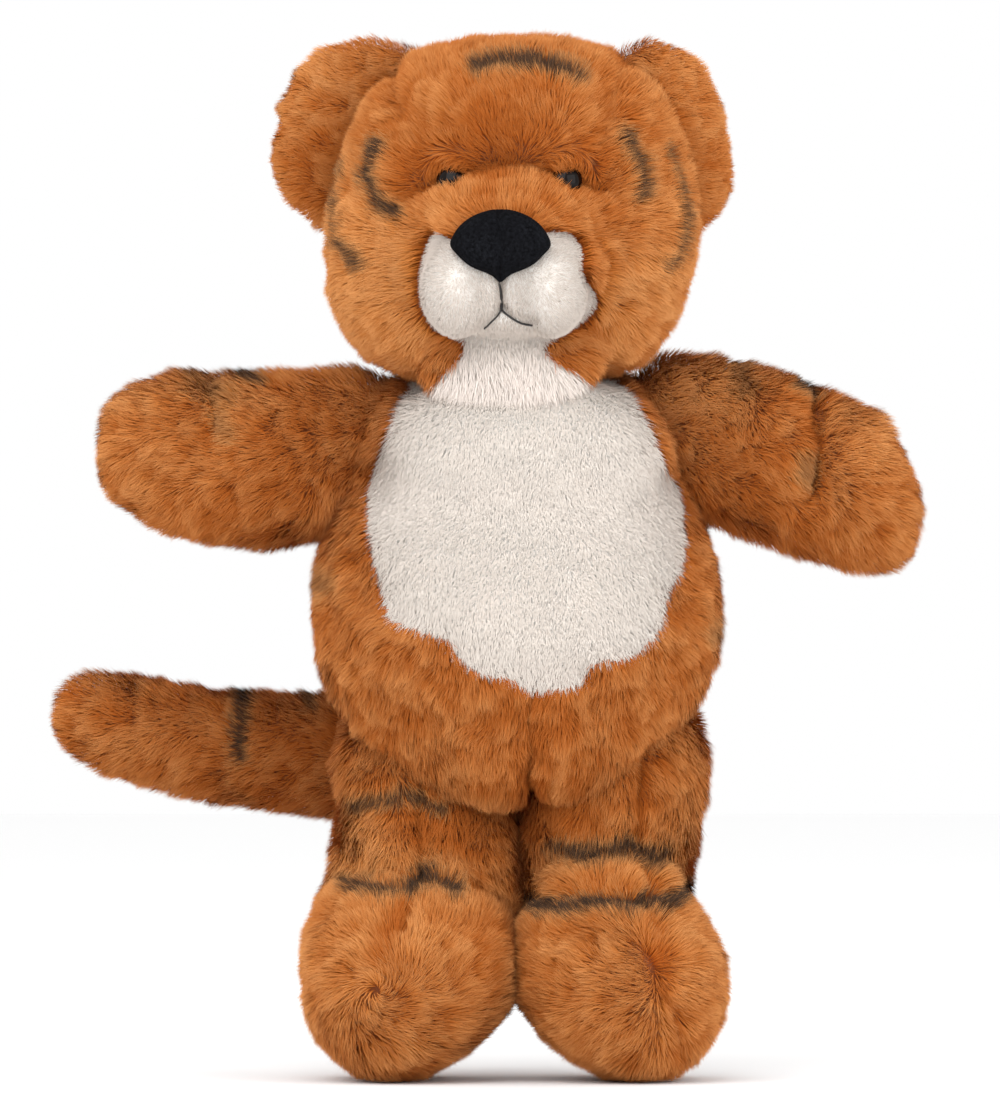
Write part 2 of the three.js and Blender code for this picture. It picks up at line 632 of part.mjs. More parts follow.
function makeHead() {
  const layer = (inset) => headForm(inset).subtract(headHollow(SWING_CLEARANCE + inset));
  const neckSocket = socket(neck, NECK_RADIUS, UP);
  const outline = MUZZLE_OUTLINE_SHARES.map(([across, up]) => new THREE.Vector2(
    (across * MUZZLE_WIDTH) / 2,
    neck.z - HEAD_SINK - SKIN + up * (snoutMiddle + MUZZLE_TOP - neck.z + HEAD_SINK + SKIN),
  ));
  const eyes = [-1, 1].map((side) => eyeOn(side));
  const neckGroup = groupAt(tiger, neck);
  const plug = ball(neck, NECK_RADIUS, ACROSS).intersect(ball(neck, NECK_RADIUS, UP)); // it nods and turns
  addPiece(neckGroup, "neck_filling", plug, fabric(FIBRE));
  const group = groupAt(neckGroup, neck);
  group.rotation.z = radians(HEAD_TURN);

  const eyeHoles = eyes.map((eye) => eye.hole).reduce((whole, hole) => whole.add(hole));
  const opening = socket(neck, NECK_RADIUS + NECK_HEM, UP);
  const shell = layer(0).subtract(layer(SKIN)).subtract(opening).subtract(eyeHoles);
  const muzzle = forwardBlock(roundShape(outline, 0), neck.y, facing);
  const muzzleHole = forwardBlock(roundShape(outline, SEAM_GAP), neck.y, facing);
  addPiece(group, "muzzle_skin", shell.intersect(muzzle), fabric(WHITE));
  const strip = inFace(ACROSS).multiplyScalar(GUSSET_WIDTH / 2);
  const [leftAndTop, right] = splitAtSeam(shell.subtract(muzzleHole), headMiddle.clone()
    .applyMatrix4(facing).add(strip), inFace(ACROSS));
  const [left, gusset] = splitAtSeam(leftAndTop, headMiddle.clone()
    .applyMatrix4(facing).sub(strip), inFace(ACROSS));
  addPiece(group, "head_side_left", left, fabric(ORANGE));
  addPiece(group, "head_side_right", right, fabric(ORANGE));
  addPiece(group, "head_gusset", gusset, fabric(ORANGE));

  const pockets = eyes.map((eye) => eye.pocket).reduce((whole, pocket) => whole.add(pocket));
  addPiece(group, "head_filling", layer(SKIN + FIT).subtract(neckSocket).subtract(pockets), fabric(FIBRE));
  eyes.forEach((eye, i) => {
    const sideName = ["left", "right"][i];
    addPiece(group, `eye_${sideName}`, eye.eye, new THREE.MeshStandardMaterial({
      color: EYE_BROWN, roughness: 0.12, metalness: 0,
    }));
    addPiece(group, `eye_washer_${sideName}`, eye.washer, new THREE.MeshStandardMaterial({
      color: WASHER_WHITE, roughness: 0.6, metalness: 0,
    }));
  });
  makeNose(group);
  makeMouth(group);
  makeEar(group, -1, "left");
  makeEar(group, 1, "right");
}

// A round piece about +Z from the corners of its profile, as radius and height.
function turned(corners, sides) {
  const geometry = new THREE.LatheGeometry(corners.map(([r, z]) => new THREE.Vector2(r, z)), sides);
  return geometry.rotateX(Math.PI / 2);
}

// A safety eye: a dome drawn deep into the face, with its stem and the lock washer behind it.
function eyeOn(side) {
  const skins = [[HEAD, headPlace], [SNOUT, snoutPlace]].map(([form, place]) =>
    new THREE.Mesh(stuffedForm(form).applyMatrix4(place)));
  const from = vec((side * EYE_SPACING) / 2, -CUT_OVERRUN, headMiddle.z + EYE_RISE).applyMatrix4(facing);
  const seen = new THREE.Raycaster(from, inFace(BACKWARD)).intersectObjects(skins)[0];
  const place = new THREE.Matrix4()
    .makeRotationFromQuaternion(new THREE.Quaternion().setFromUnitVectors(UP, seen.face.normal))
    .setPosition(seen.point.clone().addScaledVector(seen.face.normal, -EYE_SINK));

  const radius = EYE_DIAMETER / 2;
  const stem = STEM_DIAMETER / 2;
  const dome = Array.from({ length: EYE_STEPS }, (_, i) => {
    const angle = (Math.PI / 2) * (i / EYE_STEPS);
    return [radius * Math.cos(angle), FIT + EYE_EDGE + (EYE_DOME - EYE_EDGE) * Math.sin(angle)];
  });
  const eye = turned([
    [0, -STEM_LENGTH], [stem, -STEM_LENGTH], [stem, FIT], [radius, FIT], ...dome, [0, FIT + EYE_DOME],
  ], EYE_SIDES);

  const washerTop = -WASHER_SINK - FIT;
  const washerFoot = washerTop - WASHER_THICKNESS;
  const washer = turned([
    [stem + FIT, washerFoot], [WASHER_DIAMETER / 2, washerFoot], [WASHER_DIAMETER / 2, washerTop],
    [stem + FIT, washerTop], [stem + FIT, washerFoot],
  ], EYE_SIDES);
  const drilled = (r, top, foot) =>
    solidOf(turned([[0, foot], [r, foot], [r, top], [0, top]], EYE_SIDES), place);
  const clearOfEye = drilled(radius + FIT, EYE_SINK + SKIN, 0);
  const clearOfStem = drilled(stem + FIT * 2, FIT, -STEM_LENGTH - FIT);
  const clearOfWasher = drilled(WASHER_DIAMETER / 2 + FIT, washerTop + FIT, washerFoot - FIT);
  return {
    eye: solidOf(eye, place),
    washer: solidOf(washer, place),
    hole: clearOfEye,
    pocket: clearOfEye.add(clearOfStem).add(clearOfWasher),
  };
}

// The nose pad as a whole form, before it is hollowed behind
function noseForm(inset = 0) {
  const low = vec(0, snoutTip + NOSE_SINK, snoutMiddle + NOSE_RISE - NOSE_HEIGHT / 2);
  return formSolid(NOSE, facing.clone().multiply(placeAlong(low, UP, ACROSS)), inset);
}

function makeNose(group) {
  addPiece(group, "nose", noseForm().subtract(headForm(-FIT)), fabric(BLACK));
}

// The mouth: a thread laid on the muzzle, down from the nose and out to both sides.
function makeMouth(group) {
  const top = snoutMiddle + NOSE_RISE - NOSE_HEIGHT / 2;
  const parting = top - MOUTH_DROP;
  const lines = [
    [[0, top], [0, parting]],
    [[0, parting], [MOUTH_HALF_WIDTH / 2, parting - MOUTH_FALL * MOUTH_BOW_SHARE],
      [MOUTH_HALF_WIDTH, parting - MOUTH_FALL]],
    [[0, parting], [-MOUTH_HALF_WIDTH / 2, parting - MOUTH_FALL * MOUTH_BOW_SHARE],
      [-MOUTH_HALF_WIDTH, parting - MOUTH_FALL]],
  ];
  const laid = lines.map((line) => forwardBlock(ribbon(line, THREAD_RADIUS * 2), headMiddle.y, facing))
    .reduce((whole, part) => whole.add(part));
  const layer = headForm(-FIT - THREAD_RADIUS * 2).subtract(headForm(-FIT));
  addPiece(group, "mouth_stitch", layer.intersect(laid).subtract(noseForm(-FIT)), fabric(BLACK));
}

// A strip of a width along a line of points
function ribbon(line, width) {
  const points = line.map(([x, z]) => new THREE.Vector2(x, z));
  const side = (i) => {
    const ahead = points[Math.min(i + 1, points.length - 1)].clone().sub(points[Math.max(i - 1, 0)]);
    return new THREE.Vector2(-ahead.y, ahead.x).setLength(width / 2);
  };
  const left = points.map((point, i) => point.clone().add(side(i)));
  const right = points.map((point, i) => point.clone().sub(side(i)));
  return new THREE.Shape([...left, ...right.reverse()]);
}

// An ear, front and back, sewn to the head along a leaning seam about which it folds.
function makeEar(headGroup, side, sideName) {
  const lean = radians(EAR_LEAN);
  const middle = earAt(side).applyMatrix4(facing);
  const seam = inFace(vec(-side * Math.sin(lean), 0, Math.cos(lean)));
  const outward = inFace(vec(side * Math.cos(lean), 0, Math.sin(lean)));
  const place = placeAlong(middle.clone().addScaledVector(outward, -EAR_REACH), outward, seam);
  const folds = swingAngles(-EAR_FOLD, EAR_FOLD, EAR_SWING_STEP);
  const ear = formSolid(EAR, place).subtract(
    sweptObstacle(stuffedForm(HEAD, -EAR_CLEARANCE), headPlace, middle, seam, folds));
  const group = groupAt(headGroup, middle);
  const [front, back] = splitAtSeam(ear, middle, inFace(BACKWARD));
  addPiece(group, `ear_front_${sideName}`, front, fabric(ORANGE));
  addPiece(group, `ear_back_${sideName}`, back, fabric(ORANGE));
}

makeBody();
makeHead();
makeArm(-1, "left", ARM_LEFT_REST);
makeArm(1, "right", ARM_RIGHT_REST);
makeLeg(-1, "left");
makeLeg(1, "right");
makeTail();

// The whole toy stands with the origin under the middle of its box.
const box = new THREE.Box3().setFromObject(tiger, true);
const middle = box.getCenter(new THREE.Vector3());
tiger.position.set(-middle.x, -middle.y, -box.min.z);

export default tiger;
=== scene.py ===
# %% [markdown]
# # A plush tiger with a real pile
# A stuffed toy is sewn from pile fabric and filled with fibre. What the eye sees is hardly the cloth at all,
# but nearly nine hundred thousand fine hairs that stand on it. So the lesson has two halves: first a padded
# backing for each stuffed part, then a pile of modelled hairs that grows on it. The imported CAD model gives
# every place and joint, and each new piece except those of the arms and legs rides on the body that carries
# it there.

# %% The frame
import json
import math

import bmesh
import bpy
import numpy as np
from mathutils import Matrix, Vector
from mathutils.bvhtree import BVHTree


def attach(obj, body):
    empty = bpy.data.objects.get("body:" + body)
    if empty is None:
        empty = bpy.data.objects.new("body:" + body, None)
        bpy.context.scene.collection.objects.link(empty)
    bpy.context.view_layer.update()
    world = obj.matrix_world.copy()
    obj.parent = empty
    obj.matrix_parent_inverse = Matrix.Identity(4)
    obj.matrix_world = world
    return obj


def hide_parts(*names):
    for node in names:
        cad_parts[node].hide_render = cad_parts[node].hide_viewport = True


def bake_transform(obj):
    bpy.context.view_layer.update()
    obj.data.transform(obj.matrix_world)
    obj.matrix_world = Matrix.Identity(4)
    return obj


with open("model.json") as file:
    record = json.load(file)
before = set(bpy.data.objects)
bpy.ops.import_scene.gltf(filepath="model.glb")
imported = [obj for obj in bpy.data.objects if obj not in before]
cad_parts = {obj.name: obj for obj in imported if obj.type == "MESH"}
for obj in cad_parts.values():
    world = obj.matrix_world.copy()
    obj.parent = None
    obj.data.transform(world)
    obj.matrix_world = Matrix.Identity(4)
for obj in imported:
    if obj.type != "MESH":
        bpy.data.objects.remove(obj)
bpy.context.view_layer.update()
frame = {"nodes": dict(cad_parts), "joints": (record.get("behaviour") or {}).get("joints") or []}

joint_at = {joint["name"]: np.array(joint.get("pos_m", (0, 0, 0))) for joint in frame["joints"]}

# %% [markdown]
# Sizes are in metres, so a named millimetre keeps them readable. Every place is measured from the middle
# of the toy, which the neck joint gives, and from the surface that the toy stands on.

# %% Sizes and places
MM = 0.001
MIDDLE_X = joint_at["neck_nod"][0]
MIDDLE_Y = joint_at["neck_nod"][1] - 2 * MM
HEAD_TURN = math.radians(-3.4)  # the sewn face looks a little to one side
PILE = 5.5 * MM  # from the backing to the tips of the combed hairs
SIDE = {"left": -1, "right": 1}
UP, ACROSS, FORWARD = np.array([0, 0, 1.0]), np.array([1.0, 0, 0]), np.array([0, -1.0, 0])
print("the toy's middle", [round(value / MM, 2) for value in (MIDDLE_X, MIDDLE_Y)], "mm")

# %% [markdown]
# The CAD gives the places, but a limb lies along its own line and the sewn head looks a little to one
# side. A few helpers turn plain numbers of the front view into places of the frame, so that the tables
# below stay readable.

# %% Helpers for places


def place_along(start, along, across):
    """The place of a form that starts at a point, from the ways of its axis and of its width."""
    axis = np.array(along, float) / np.linalg.norm(along)
    deep = np.cross(axis, across)
    deep /= np.linalg.norm(deep)
    place = np.eye(4)
    place[:3, :4] = np.stack([np.cross(deep, axis), deep, axis, start], 1)
    return place


def head_place(point):
    """Turns a point or a direction of the straight head to the way that the sewn head looks."""
    c, s = math.cos(HEAD_TURN), math.sin(HEAD_TURN)
    return np.array(point) @ np.array([[c, s, 0], [-s, c, 0], [0, 0, 1]])


def at_neck(offset):
    """The place of a point of the head, given in millimetres from the neck joint."""
    return head_place(np.array(offset) * MM) + joint_at["head_turn"]


def straight_head(points):
    """Points in millimetres from the neck joint, in the frame of the head before it was turned."""
    c, s = math.cos(HEAD_TURN), math.sin(HEAD_TURN)
    return (points - joint_at["head_turn"]) / MM @ np.array([[c, -s, 0], [s, c, 0], [0, 0, 1]])


def toy(x, y, z):
    """A point from the toy's middle and the floor, given in millimetres."""
    return np.array([MIDDLE_X + x * MM, MIDDLE_Y + y * MM, z * MM])


def from_middle(points):
    """Points in millimetres from the toy's middle and the floor."""
    return (points - np.array([MIDDLE_X, MIDDLE_Y, 0])) / MM


# %% [markdown]
# Each stuffed part is one form that swells and tapers along its axis. A table gives the swell of its
# width and depth and the drift of its middle at a few shares of its length, and a smooth curve runs
# through the rows. The same form later says which hairs would grow inside a neighbour and can be left
# out.

# %% Stuffed forms


def smooth_rows(rows, along):
    """The values of a table at shares along it, on a smooth curve through its rows."""
    rows = np.array(rows)
    share, values = rows[:, 0], rows[:, 1:]
    after = np.clip(np.searchsorted(share, along, side="right"), 1, len(rows) - 1)
    start, end = after - 1, after
    before, beyond = np.maximum(start - 1, 0), np.minimum(end + 1, len(rows) - 1)
    gap = (share[end] - share[start])[:, None]
    u = ((along - share[start]) / gap[:, 0])[:, None]
    slope_in = (values[end] - values[before]) / (share[end] - share[before])[:, None] * gap
    slope_out = (values[beyond] - values[start]) / (share[beyond] - share[start])[:, None] * gap
    eased = u * u * (3 - 2 * u)
    bend = u * (1 - u) * ((1 - u) * slope_in - u * slope_out)
    return values[start] * (1 - eased) + values[end] * eased + bend


class Form:
    """A closed padded form: its sizes, its rows of shares and its place."""

    def __init__(self, length, width, depth, rows, place, blunt=1.0, square=1.0):
        self.length, self.width, self.depth = length * MM, width * MM, depth * MM
        self.rows, self.place, self.blunt, self.square = rows, place, blunt, square

    def section(self, up, inset):
        """Half width, half depth, drift of the middle and height in metres, at a height from -1 to 1."""
        z = self.length / 2 + (self.length / 2 - inset) * up
        wide, deep, drift_x, drift_y = smooth_rows(self.rows, z / self.length).T
        swell = np.sqrt(np.maximum(1 - up * up, 0)) ** self.blunt
        half_x = swell * (wide * self.width / 2 - inset)
        half_y = swell * (deep * self.depth / 2 - inset)
        return half_x, half_y, drift_x * self.width / 2, drift_y * self.depth / 2, z

    def mapped(self, sphere, inset):
        """The points of a unit sphere, moved on to the form."""
        half_x, half_y, drift_x, drift_y, z = self.section(np.clip(sphere[:, 2], -1, 1), inset)
        angle = np.arctan2(sphere[:, 1], sphere[:, 0])
        across = np.sign(np.cos(angle)) * np.abs(np.cos(angle)) ** self.square
        deep = np.sign(np.sin(angle)) * np.abs(np.sin(angle)) ** self.square
        local = np.stack([drift_x + half_x * across, drift_y + half_y * deep, z], 1)
        return self.shaped(local @ self.place[:3, :3].T + self.place[:3, 3])

    def shaped(self, points):
        """Stays as it is unless a form is given its own last touch."""
        return points

    def depth_inside(self, points, inset):
        """Roughly how deep points lie inside the form, in metres, below zero outside it."""
        local = (points - self.place[:3, 3]) @ self.place[:3, :3]
        up = (local[:, 2] - self.length / 2) / (self.length / 2 - inset)
        half_x, half_y, drift_x, drift_y, _ = self.section(np.clip(up, -0.999, 0.999), inset)
        small, power = 1e-6, 2 / self.square
        across = np.abs((local[:, 0] - drift_x) / (half_x + small))
        deep = np.abs((local[:, 1] - drift_y) / (half_y + small))
        reach = (across**power + deep**power) ** (self.square / 2)
        inside = (1 - reach) * np.minimum(half_x, half_y)
        return np.where(np.abs(up) < 1, inside, -1.0)


# %% [markdown]
# The real toy's parts are cut from flat panels, and filling swells them to the forms that the photograph
# shows. The rows below were read off the photograph, 3 pixels to a millimetre: each row is a share of the
# length, the shares of the width and the depth there, and the drift of the middle sideways and backwards,
# in shares of half the width and half the depth. A loft with a table is chosen over sculpting by hand,
# because a form can be corrected row by row.

# %% Rows of the forms
BODY_ROWS = [
    [0, 0.86, 0.9, 0, 0], [0.07, 1.0, 1, 0, 0], [0.2, 1.05, 1.05, 0, -0.02], [0.4, 1.02, 1.04, 0, -0.05],
    [0.61, 0.98, 0.97, -0.01, -0.03], [0.76, 1, 0.93, 0, 0], [0.86, 1.08, 0.96, 0, 0.03],
    [0.94, 1.2, 1, 0, 0.03], [1, 1.25, 1, 0, 0.03],
]
HEAD_ROWS = [
    [0, 1.1, 1, -0.045, 0], [0.08, 1.17, 1.04, -0.05, 0], [0.17, 1.1, 1.03, -0.055, 0],
    [0.3, 1.03, 1.01, -0.045, 0],
    [0.49, 0.985, 1, -0.01, 0], [0.67, 0.957, 1, 0, 0], [0.82, 0.97, 1, 0, 0], [1, 1.02, 1, 0, 0],
]
SNOUT_ROWS = [[0, 0.9, 0.9, 0, 0], [0.5, 1, 1, 0, 0], [0.8, 0.98, 0.96, 0, 0], [1, 0.95, 0.9, 0, 0]]
EAR_ROWS = [[0, 1.04, 0.9, 0, 0], [0.5, 1.04, 0.95, 0, 0], [0.75, 1, 1.05, 0, 0], [1, 1, 1, 0, 0]]
ARM_ROWS = {
    "left": [
        [0, 1.1, 0.85, 0.18, 0.3], [0.2, 1.05, 0.93, 0.06, 0.2], [0.45, 1.01, 1, -0.07, 0],
        [0.75, 1.03, 1, 0.01, 0], [1, 1.0, 0.95, 0.1, 0],
    ],
    "right": [
        [0, 1.1, 0.85, 0.2, -0.3], [0.2, 1.02, 0.93, 0.1, -0.2], [0.45, 0.96, 1, 0.05, 0],
        [0.75, 1.0, 1, -0.07, 0], [0.9, 0.92, 0.97, -0.28, 0], [1, 0.86, 0.95, -0.5, 0],
    ],
}
LEG_ROWS = {
    "left": [
        [0, 0.9, 0.9, 0, 0.1], [0.3, 1.2, 0.94, 0.09, 0.1], [0.45, 1.1, 0.94, 0.05, 0.08],
        [0.6, 1.02, 1, 0, 0], [0.8, 1.12, 1.06, 0.1, -0.1], [1, 1.05, 1, 0.15, -0.15],
    ],
    "right": [
        [0, 0.9, 0.9, 0, 0.1], [0.3, 1.05, 0.94, -0.05, 0.1], [0.45, 1.01, 0.94, -0.02, 0.08],
        [0.6, 1.06, 1, 0.04, 0], [0.8, 1.17, 1.06, 0.14, -0.1], [1, 1.24, 1, 0.3, -0.15],
    ],
}
FOOT_ROWS = [
    [0, 0.9, 0.9, 0, -0.25], [0.03, 0.92, 0.92, 0, -0.27], [0.12, 0.95, 0.95, 0, -0.2],
    [0.25, 0.99, 1.0, 0, -0.067], [0.5, 1, 0.98, 0, -0.02], [0.75, 1, 0.9, 0, -0.15],
    [0.88, 0.99, 0.84, 0, -0.22], [0.97, 0.97, 0.8, 0, -0.2], [1, 0.96, 0.8, 0, -0.2],
]
TAIL_ROWS = [
    [0, 0.7, 0.7, -0.2, 0], [0.12, 0.97, 0.93, -0.21, 0.4], [0.25, 1, 1, -0.23, 0.84],
    [0.42, 0.96, 0.98, -0.28, 0.9], [0.7, 0.91, 0.88, -0.24, 0.6], [0.9, 0.96, 0.8, -0.05, 0.35],
    [1, 0.96, 0.78, 0.08, 0.3],
]
print("rows of the body and the head", len(BODY_ROWS), len(HEAD_ROWS))

# %% [markdown]
# Each form starts at a joint of the CAD model or at a place in the front view. Sizes are in millimetres
# and angles in degrees. The two sides differ a little, as they do on a toy that is stuffed by hand.

# %% The forms of the tiger
SHOULDER_RADIUS, TAIL_RADIUS = 21, 17
ARM_LENGTH, TAIL_LENGTH = 88, 157
ARM_REST = {"left": -0.5, "right": -15}  # above level
ARM_RISE = {"left": -2.5, "right": 3.5}  # the middle of the stuffed arm from the shoulder's joint
TAIL_LIFT = 5
EAR_LEAN = {"left": 13, "right": 14}
EAR_TURN = {"left": 0, "right": 28}  # how far the ear is laid back
EAR_REACH = {"left": 30, "right": 21}
FOOT_OUT = {"left": 35.3, "right": 34}
ANKLE_TUCK = {"left": -2, "right": 8}
TOE_OUT = 15.5  # how far the inner edge of the sole is drawn out, as the toes point outwards
SOLE_LIFT, SOLE_SPAN = 31, 28  # the height at which that drawing starts, and over how much it grows
SOLE_EDGE, SOLE_WIDTH = 54, 38  # how far out from the toy's middle it ends, and over how much it fades
TUCK_LIFT, TUCK_SPAN = 36, 30  # the same two heights for the tuck at the ankle
TUCK_EDGE, TUCK_WIDTH = 42, 20  # and where the tuck starts outwards
HANG = 11  # how far the belly's lower edge comes forward
HANG_LIFT, HANG_SPAN = 120, 26  # the height below which it hangs, and over how much that grows
HANG_DEPTH = 24  # how far in front of the toy's middle it hangs in full


head_across = head_place(ACROSS)
tail_along = np.array([-math.cos(math.radians(TAIL_LIFT)), 0, math.sin(math.radians(TAIL_LIFT))])
tail_root = joint_at["tail_wag"] - tail_along * TAIL_RADIUS * MM
forms = {
    "body": Form(147, 138.5, 104, BODY_ROWS, place_along(toy(0, 0, 89), UP, ACROSS)),
    "head": Form(117.5, 126, 100, HEAD_ROWS, place_along(at_neck((0, -6, -4)), UP, head_across), blunt=0.7),
    "snout": Form(52, 64, 54, SNOUT_ROWS,
                  place_along(at_neck((0, -20, 34.5)), head_place(FORWARD), head_across), blunt=0.7),
    "tail": Form(TAIL_LENGTH + TAIL_RADIUS, 45, 45, TAIL_ROWS,
                 place_along(tail_root, tail_along, UP), blunt=0.4),
}


def foot_tuck(side, ankle):
    """Draws out the inner edge of the sole, and draws in the outer side of the top by the ankle's share."""
    def tuck(points):
        out = side * (points[:, 0] - MIDDLE_X) / MM
        height = points[:, 2] / MM
        low = np.clip((SOLE_LIFT - height) / SOLE_SPAN, 0, 1.1)
        inner = np.clip((SOLE_EDGE - out) / SOLE_WIDTH, 0, 1)
        high = np.clip((height - TUCK_LIFT) / TUCK_SPAN, 0, 1.2)
        outer = np.clip((out - TUCK_EDGE) / TUCK_WIDTH, 0, 1)
        moved = points.copy()
        moved[:, 0] += side * MM * (TOE_OUT * low**1.2 * inner - ankle * high * outer)
        return moved
    return tuck


def hang_over(points):
    """The filled belly hangs over the fronts of the legs."""
    low = np.clip((HANG_LIFT - points[:, 2] / MM) / HANG_SPAN, 0, 1)
    front = np.clip((MIDDLE_Y - points[:, 1]) / (HANG_DEPTH * MM) + 0.4, 0, 1)
    moved = points.copy()
    moved[:, 1] -= HANG * MM * low * low * (3 - 2 * low) * front
    return moved


def ball_form(centre, width, depth, height, across=ACROSS):
    """A round form about a centre, from its sizes in millimetres."""
    start = np.array(centre) - UP * height / 2 * MM
    return Form(height, width, depth, [[0, 1, 1, 0, 0], [1, 1, 1, 0, 0]], place_along(start, UP, across))


forms["body"].shaped = hang_over
arm_along, ear_out = {}, {}
for side_name, side in SIDE.items():
    angle = math.radians(ARM_REST[side_name])
    arm_along[side_name] = np.array([side * math.cos(angle), 0, math.sin(angle)])
    shoulder = joint_at[f"arm_raise_{side_name}"] + UP * ARM_RISE[side_name] * MM
    arm_root = shoulder - arm_along[side_name] * SHOULDER_RADIUS * MM
    forms[f"arm_{side_name}"] = Form(
        ARM_LENGTH + SHOULDER_RADIUS, 60, 50, ARM_ROWS[side_name],
        place_along(arm_root, arm_along[side_name], UP), blunt=0.6)
    forms[f"leg_{side_name}"] = Form(
        104, 60, 52, LEG_ROWS[side_name], place_along(toy(side * 29, 5, 24), UP, (side, 0, 0)), blunt=0.5)
    forms[f"foot_{side_name}"] = Form(
        91, 71, 74, FOOT_ROWS, place_along(toy(side * FOOT_OUT[side_name], 32, 36.5), FORWARD, ACROSS),
        blunt=0.62, square=0.85)
    forms[f"foot_{side_name}"].shaped = foot_tuck(side, ANKLE_TUCK[side_name])
    lean, back = math.radians(EAR_LEAN[side_name]), math.radians(EAR_TURN[side_name])
    ear_seam = head_place((-side * math.sin(lean), 0, math.cos(lean)))
    flat_out = head_place((side * math.cos(lean), 0, math.sin(lean)))
    ear_out[side_name] = flat_out * math.cos(back) + head_place((0, 1, 0)) * math.sin(back)
    reach = ear_out[side_name] * EAR_REACH[side_name] * MM
    forms[f"ear_{side_name}"] = Form(
        EAR_REACH[side_name] * 2, 67, 17, EAR_ROWS,
        place_along(joint_at[f"ear_fold_{side_name}"] - reach, ear_out[side_name], ear_seam), blunt=0.62)
    forms[f"lobe_{side_name}"] = ball_form(at_neck((side * 15.5 - 1, -57, 27.5)), 33, 40, 41, head_across)
    forms[f"instep_{side_name}"] = ball_form(toy(side * 32, -10, 55), 55, 50, 40)
forms["chest"] = ball_form(toy(2, -25, 208), 102, 52, 66)
forms["yoke"] = ball_form(toy(-1, 3, 211), 124, 66, 62)
forms["chin"] = ball_form(at_neck((-1, -32, 5)), 64, 38, 44, head_across)
print("forms", sorted(forms))

# %% [markdown]
# A backing starts as a sphere that is drawn on to its form, as a sewn tube is filled. Where two forms
# make one sewn part, such as a leg and its foot, a voxel remesh joins them into one cloth and a smoothing
# rounds the crease between them, as the filling does.

# %% Backings
VOXEL = 3 * MM
SMOOTHING = 10
BODY_SMOOTHING = 45  # chest, shoulders and belly are one sewn skin
LIMB_PILE, EAR_PILE = PILE - 1 * MM, 3 * MM  # the pile stands lower on the small parts


def new_piece(name, data):
    piece = bpy.data.objects.new(name, data)
    bpy.context.scene.collection.objects.link(piece)
    return piece


def select_only(piece):
    bpy.ops.object.select_all(action="DESELECT")
    piece.select_set(True)
    bpy.context.view_layer.objects.active = piece


def apply_modifier(piece, kind, **settings):
    select_only(piece)
    modifier = piece.modifiers.new(kind.title(), kind)
    for name, value in settings.items():
        setattr(modifier, name, value)
    bpy.ops.object.modifier_apply(modifier=modifier.name)


def coordinates(piece):
    points = np.zeros(len(piece.data.vertices) * 3)
    piece.data.vertices.foreach_get("co", points)
    return points.reshape(-1, 3)


def set_coordinates(piece, points):
    piece.data.vertices.foreach_set("co", points.ravel())
    piece.data.update()


def unit_ball(segments=48, rings=32):
    bpy.ops.object.select_all(action="DESELECT")
    bpy.ops.mesh.primitive_uv_sphere_add(segments=segments, ring_count=rings, radius=1)
    return bpy.context.object


def joined(pieces, name):
    """One piece from several, with a name."""
    select_only(pieces[0])
    for piece in pieces:
        piece.select_set(True)
    if len(pieces) > 1:
        bpy.ops.object.join()
    whole_piece = bpy.context.object
    whole_piece.name = whole_piece.data.name = name
    return whole_piece


def name_of(part, thing):
    """A thing's name with its part and side: the backing of leg_left is leg_backing_left."""
    kind, _, side_name = part.partition("_")
    return f"{kind}_{thing}_{side_name}" if side_name else f"{kind}_{thing}"


def make_backing(part, *names, inset=PILE, smoothing=SMOOTHING):
    """One padded backing for a part, from one form or several."""
    balls = []
    for form_name in names:
        ball = unit_ball()
        set_coordinates(ball, forms[form_name].mapped(coordinates(ball), inset))
        balls.append(ball)
    backing = joined(balls, name_of(part, "backing"))
    backing.data.remesh_voxel_size = VOXEL
    bpy.ops.object.voxel_remesh()
    apply_modifier(backing, "SMOOTH", factor=0.5, iterations=smoothing)
    bpy.ops.object.shade_smooth()
    return backing


backings = {
    "body": make_backing("body", "body", "chest", "yoke", smoothing=BODY_SMOOTHING),
    "head": make_backing("head", "head", "snout", "lobe_left", "lobe_right", "chin"),
    "tail": make_backing("tail", "tail"),
}
for side_name in SIDE:
    arm, leg, ear = (f"{kind}_{side_name}" for kind in ("arm", "leg", "ear"))
    backings[arm] = make_backing(arm, arm)
    backings[leg] = make_backing(leg, leg, f"foot_{side_name}", f"instep_{side_name}", inset=LIMB_PILE)
    backings[ear] = make_backing(ear, ear, inset=EAR_PILE)
print("backings", sorted(piece.name for piece in backings.values()))

# %% [markdown]
# The face is what a child looks at, and most of it is needle work: threads pulled through the stuffed
# head draw the eyes in and make the line of the mouth. Seams and the folds of a soft limb draw the cloth
# in too. Short strokes do the same here. Each stroke is a line in the front view, in millimetres from the
# toy's middle or, for the head, from the neck joint. It draws the cloth in, or lets it swell where its
# depth is below zero.

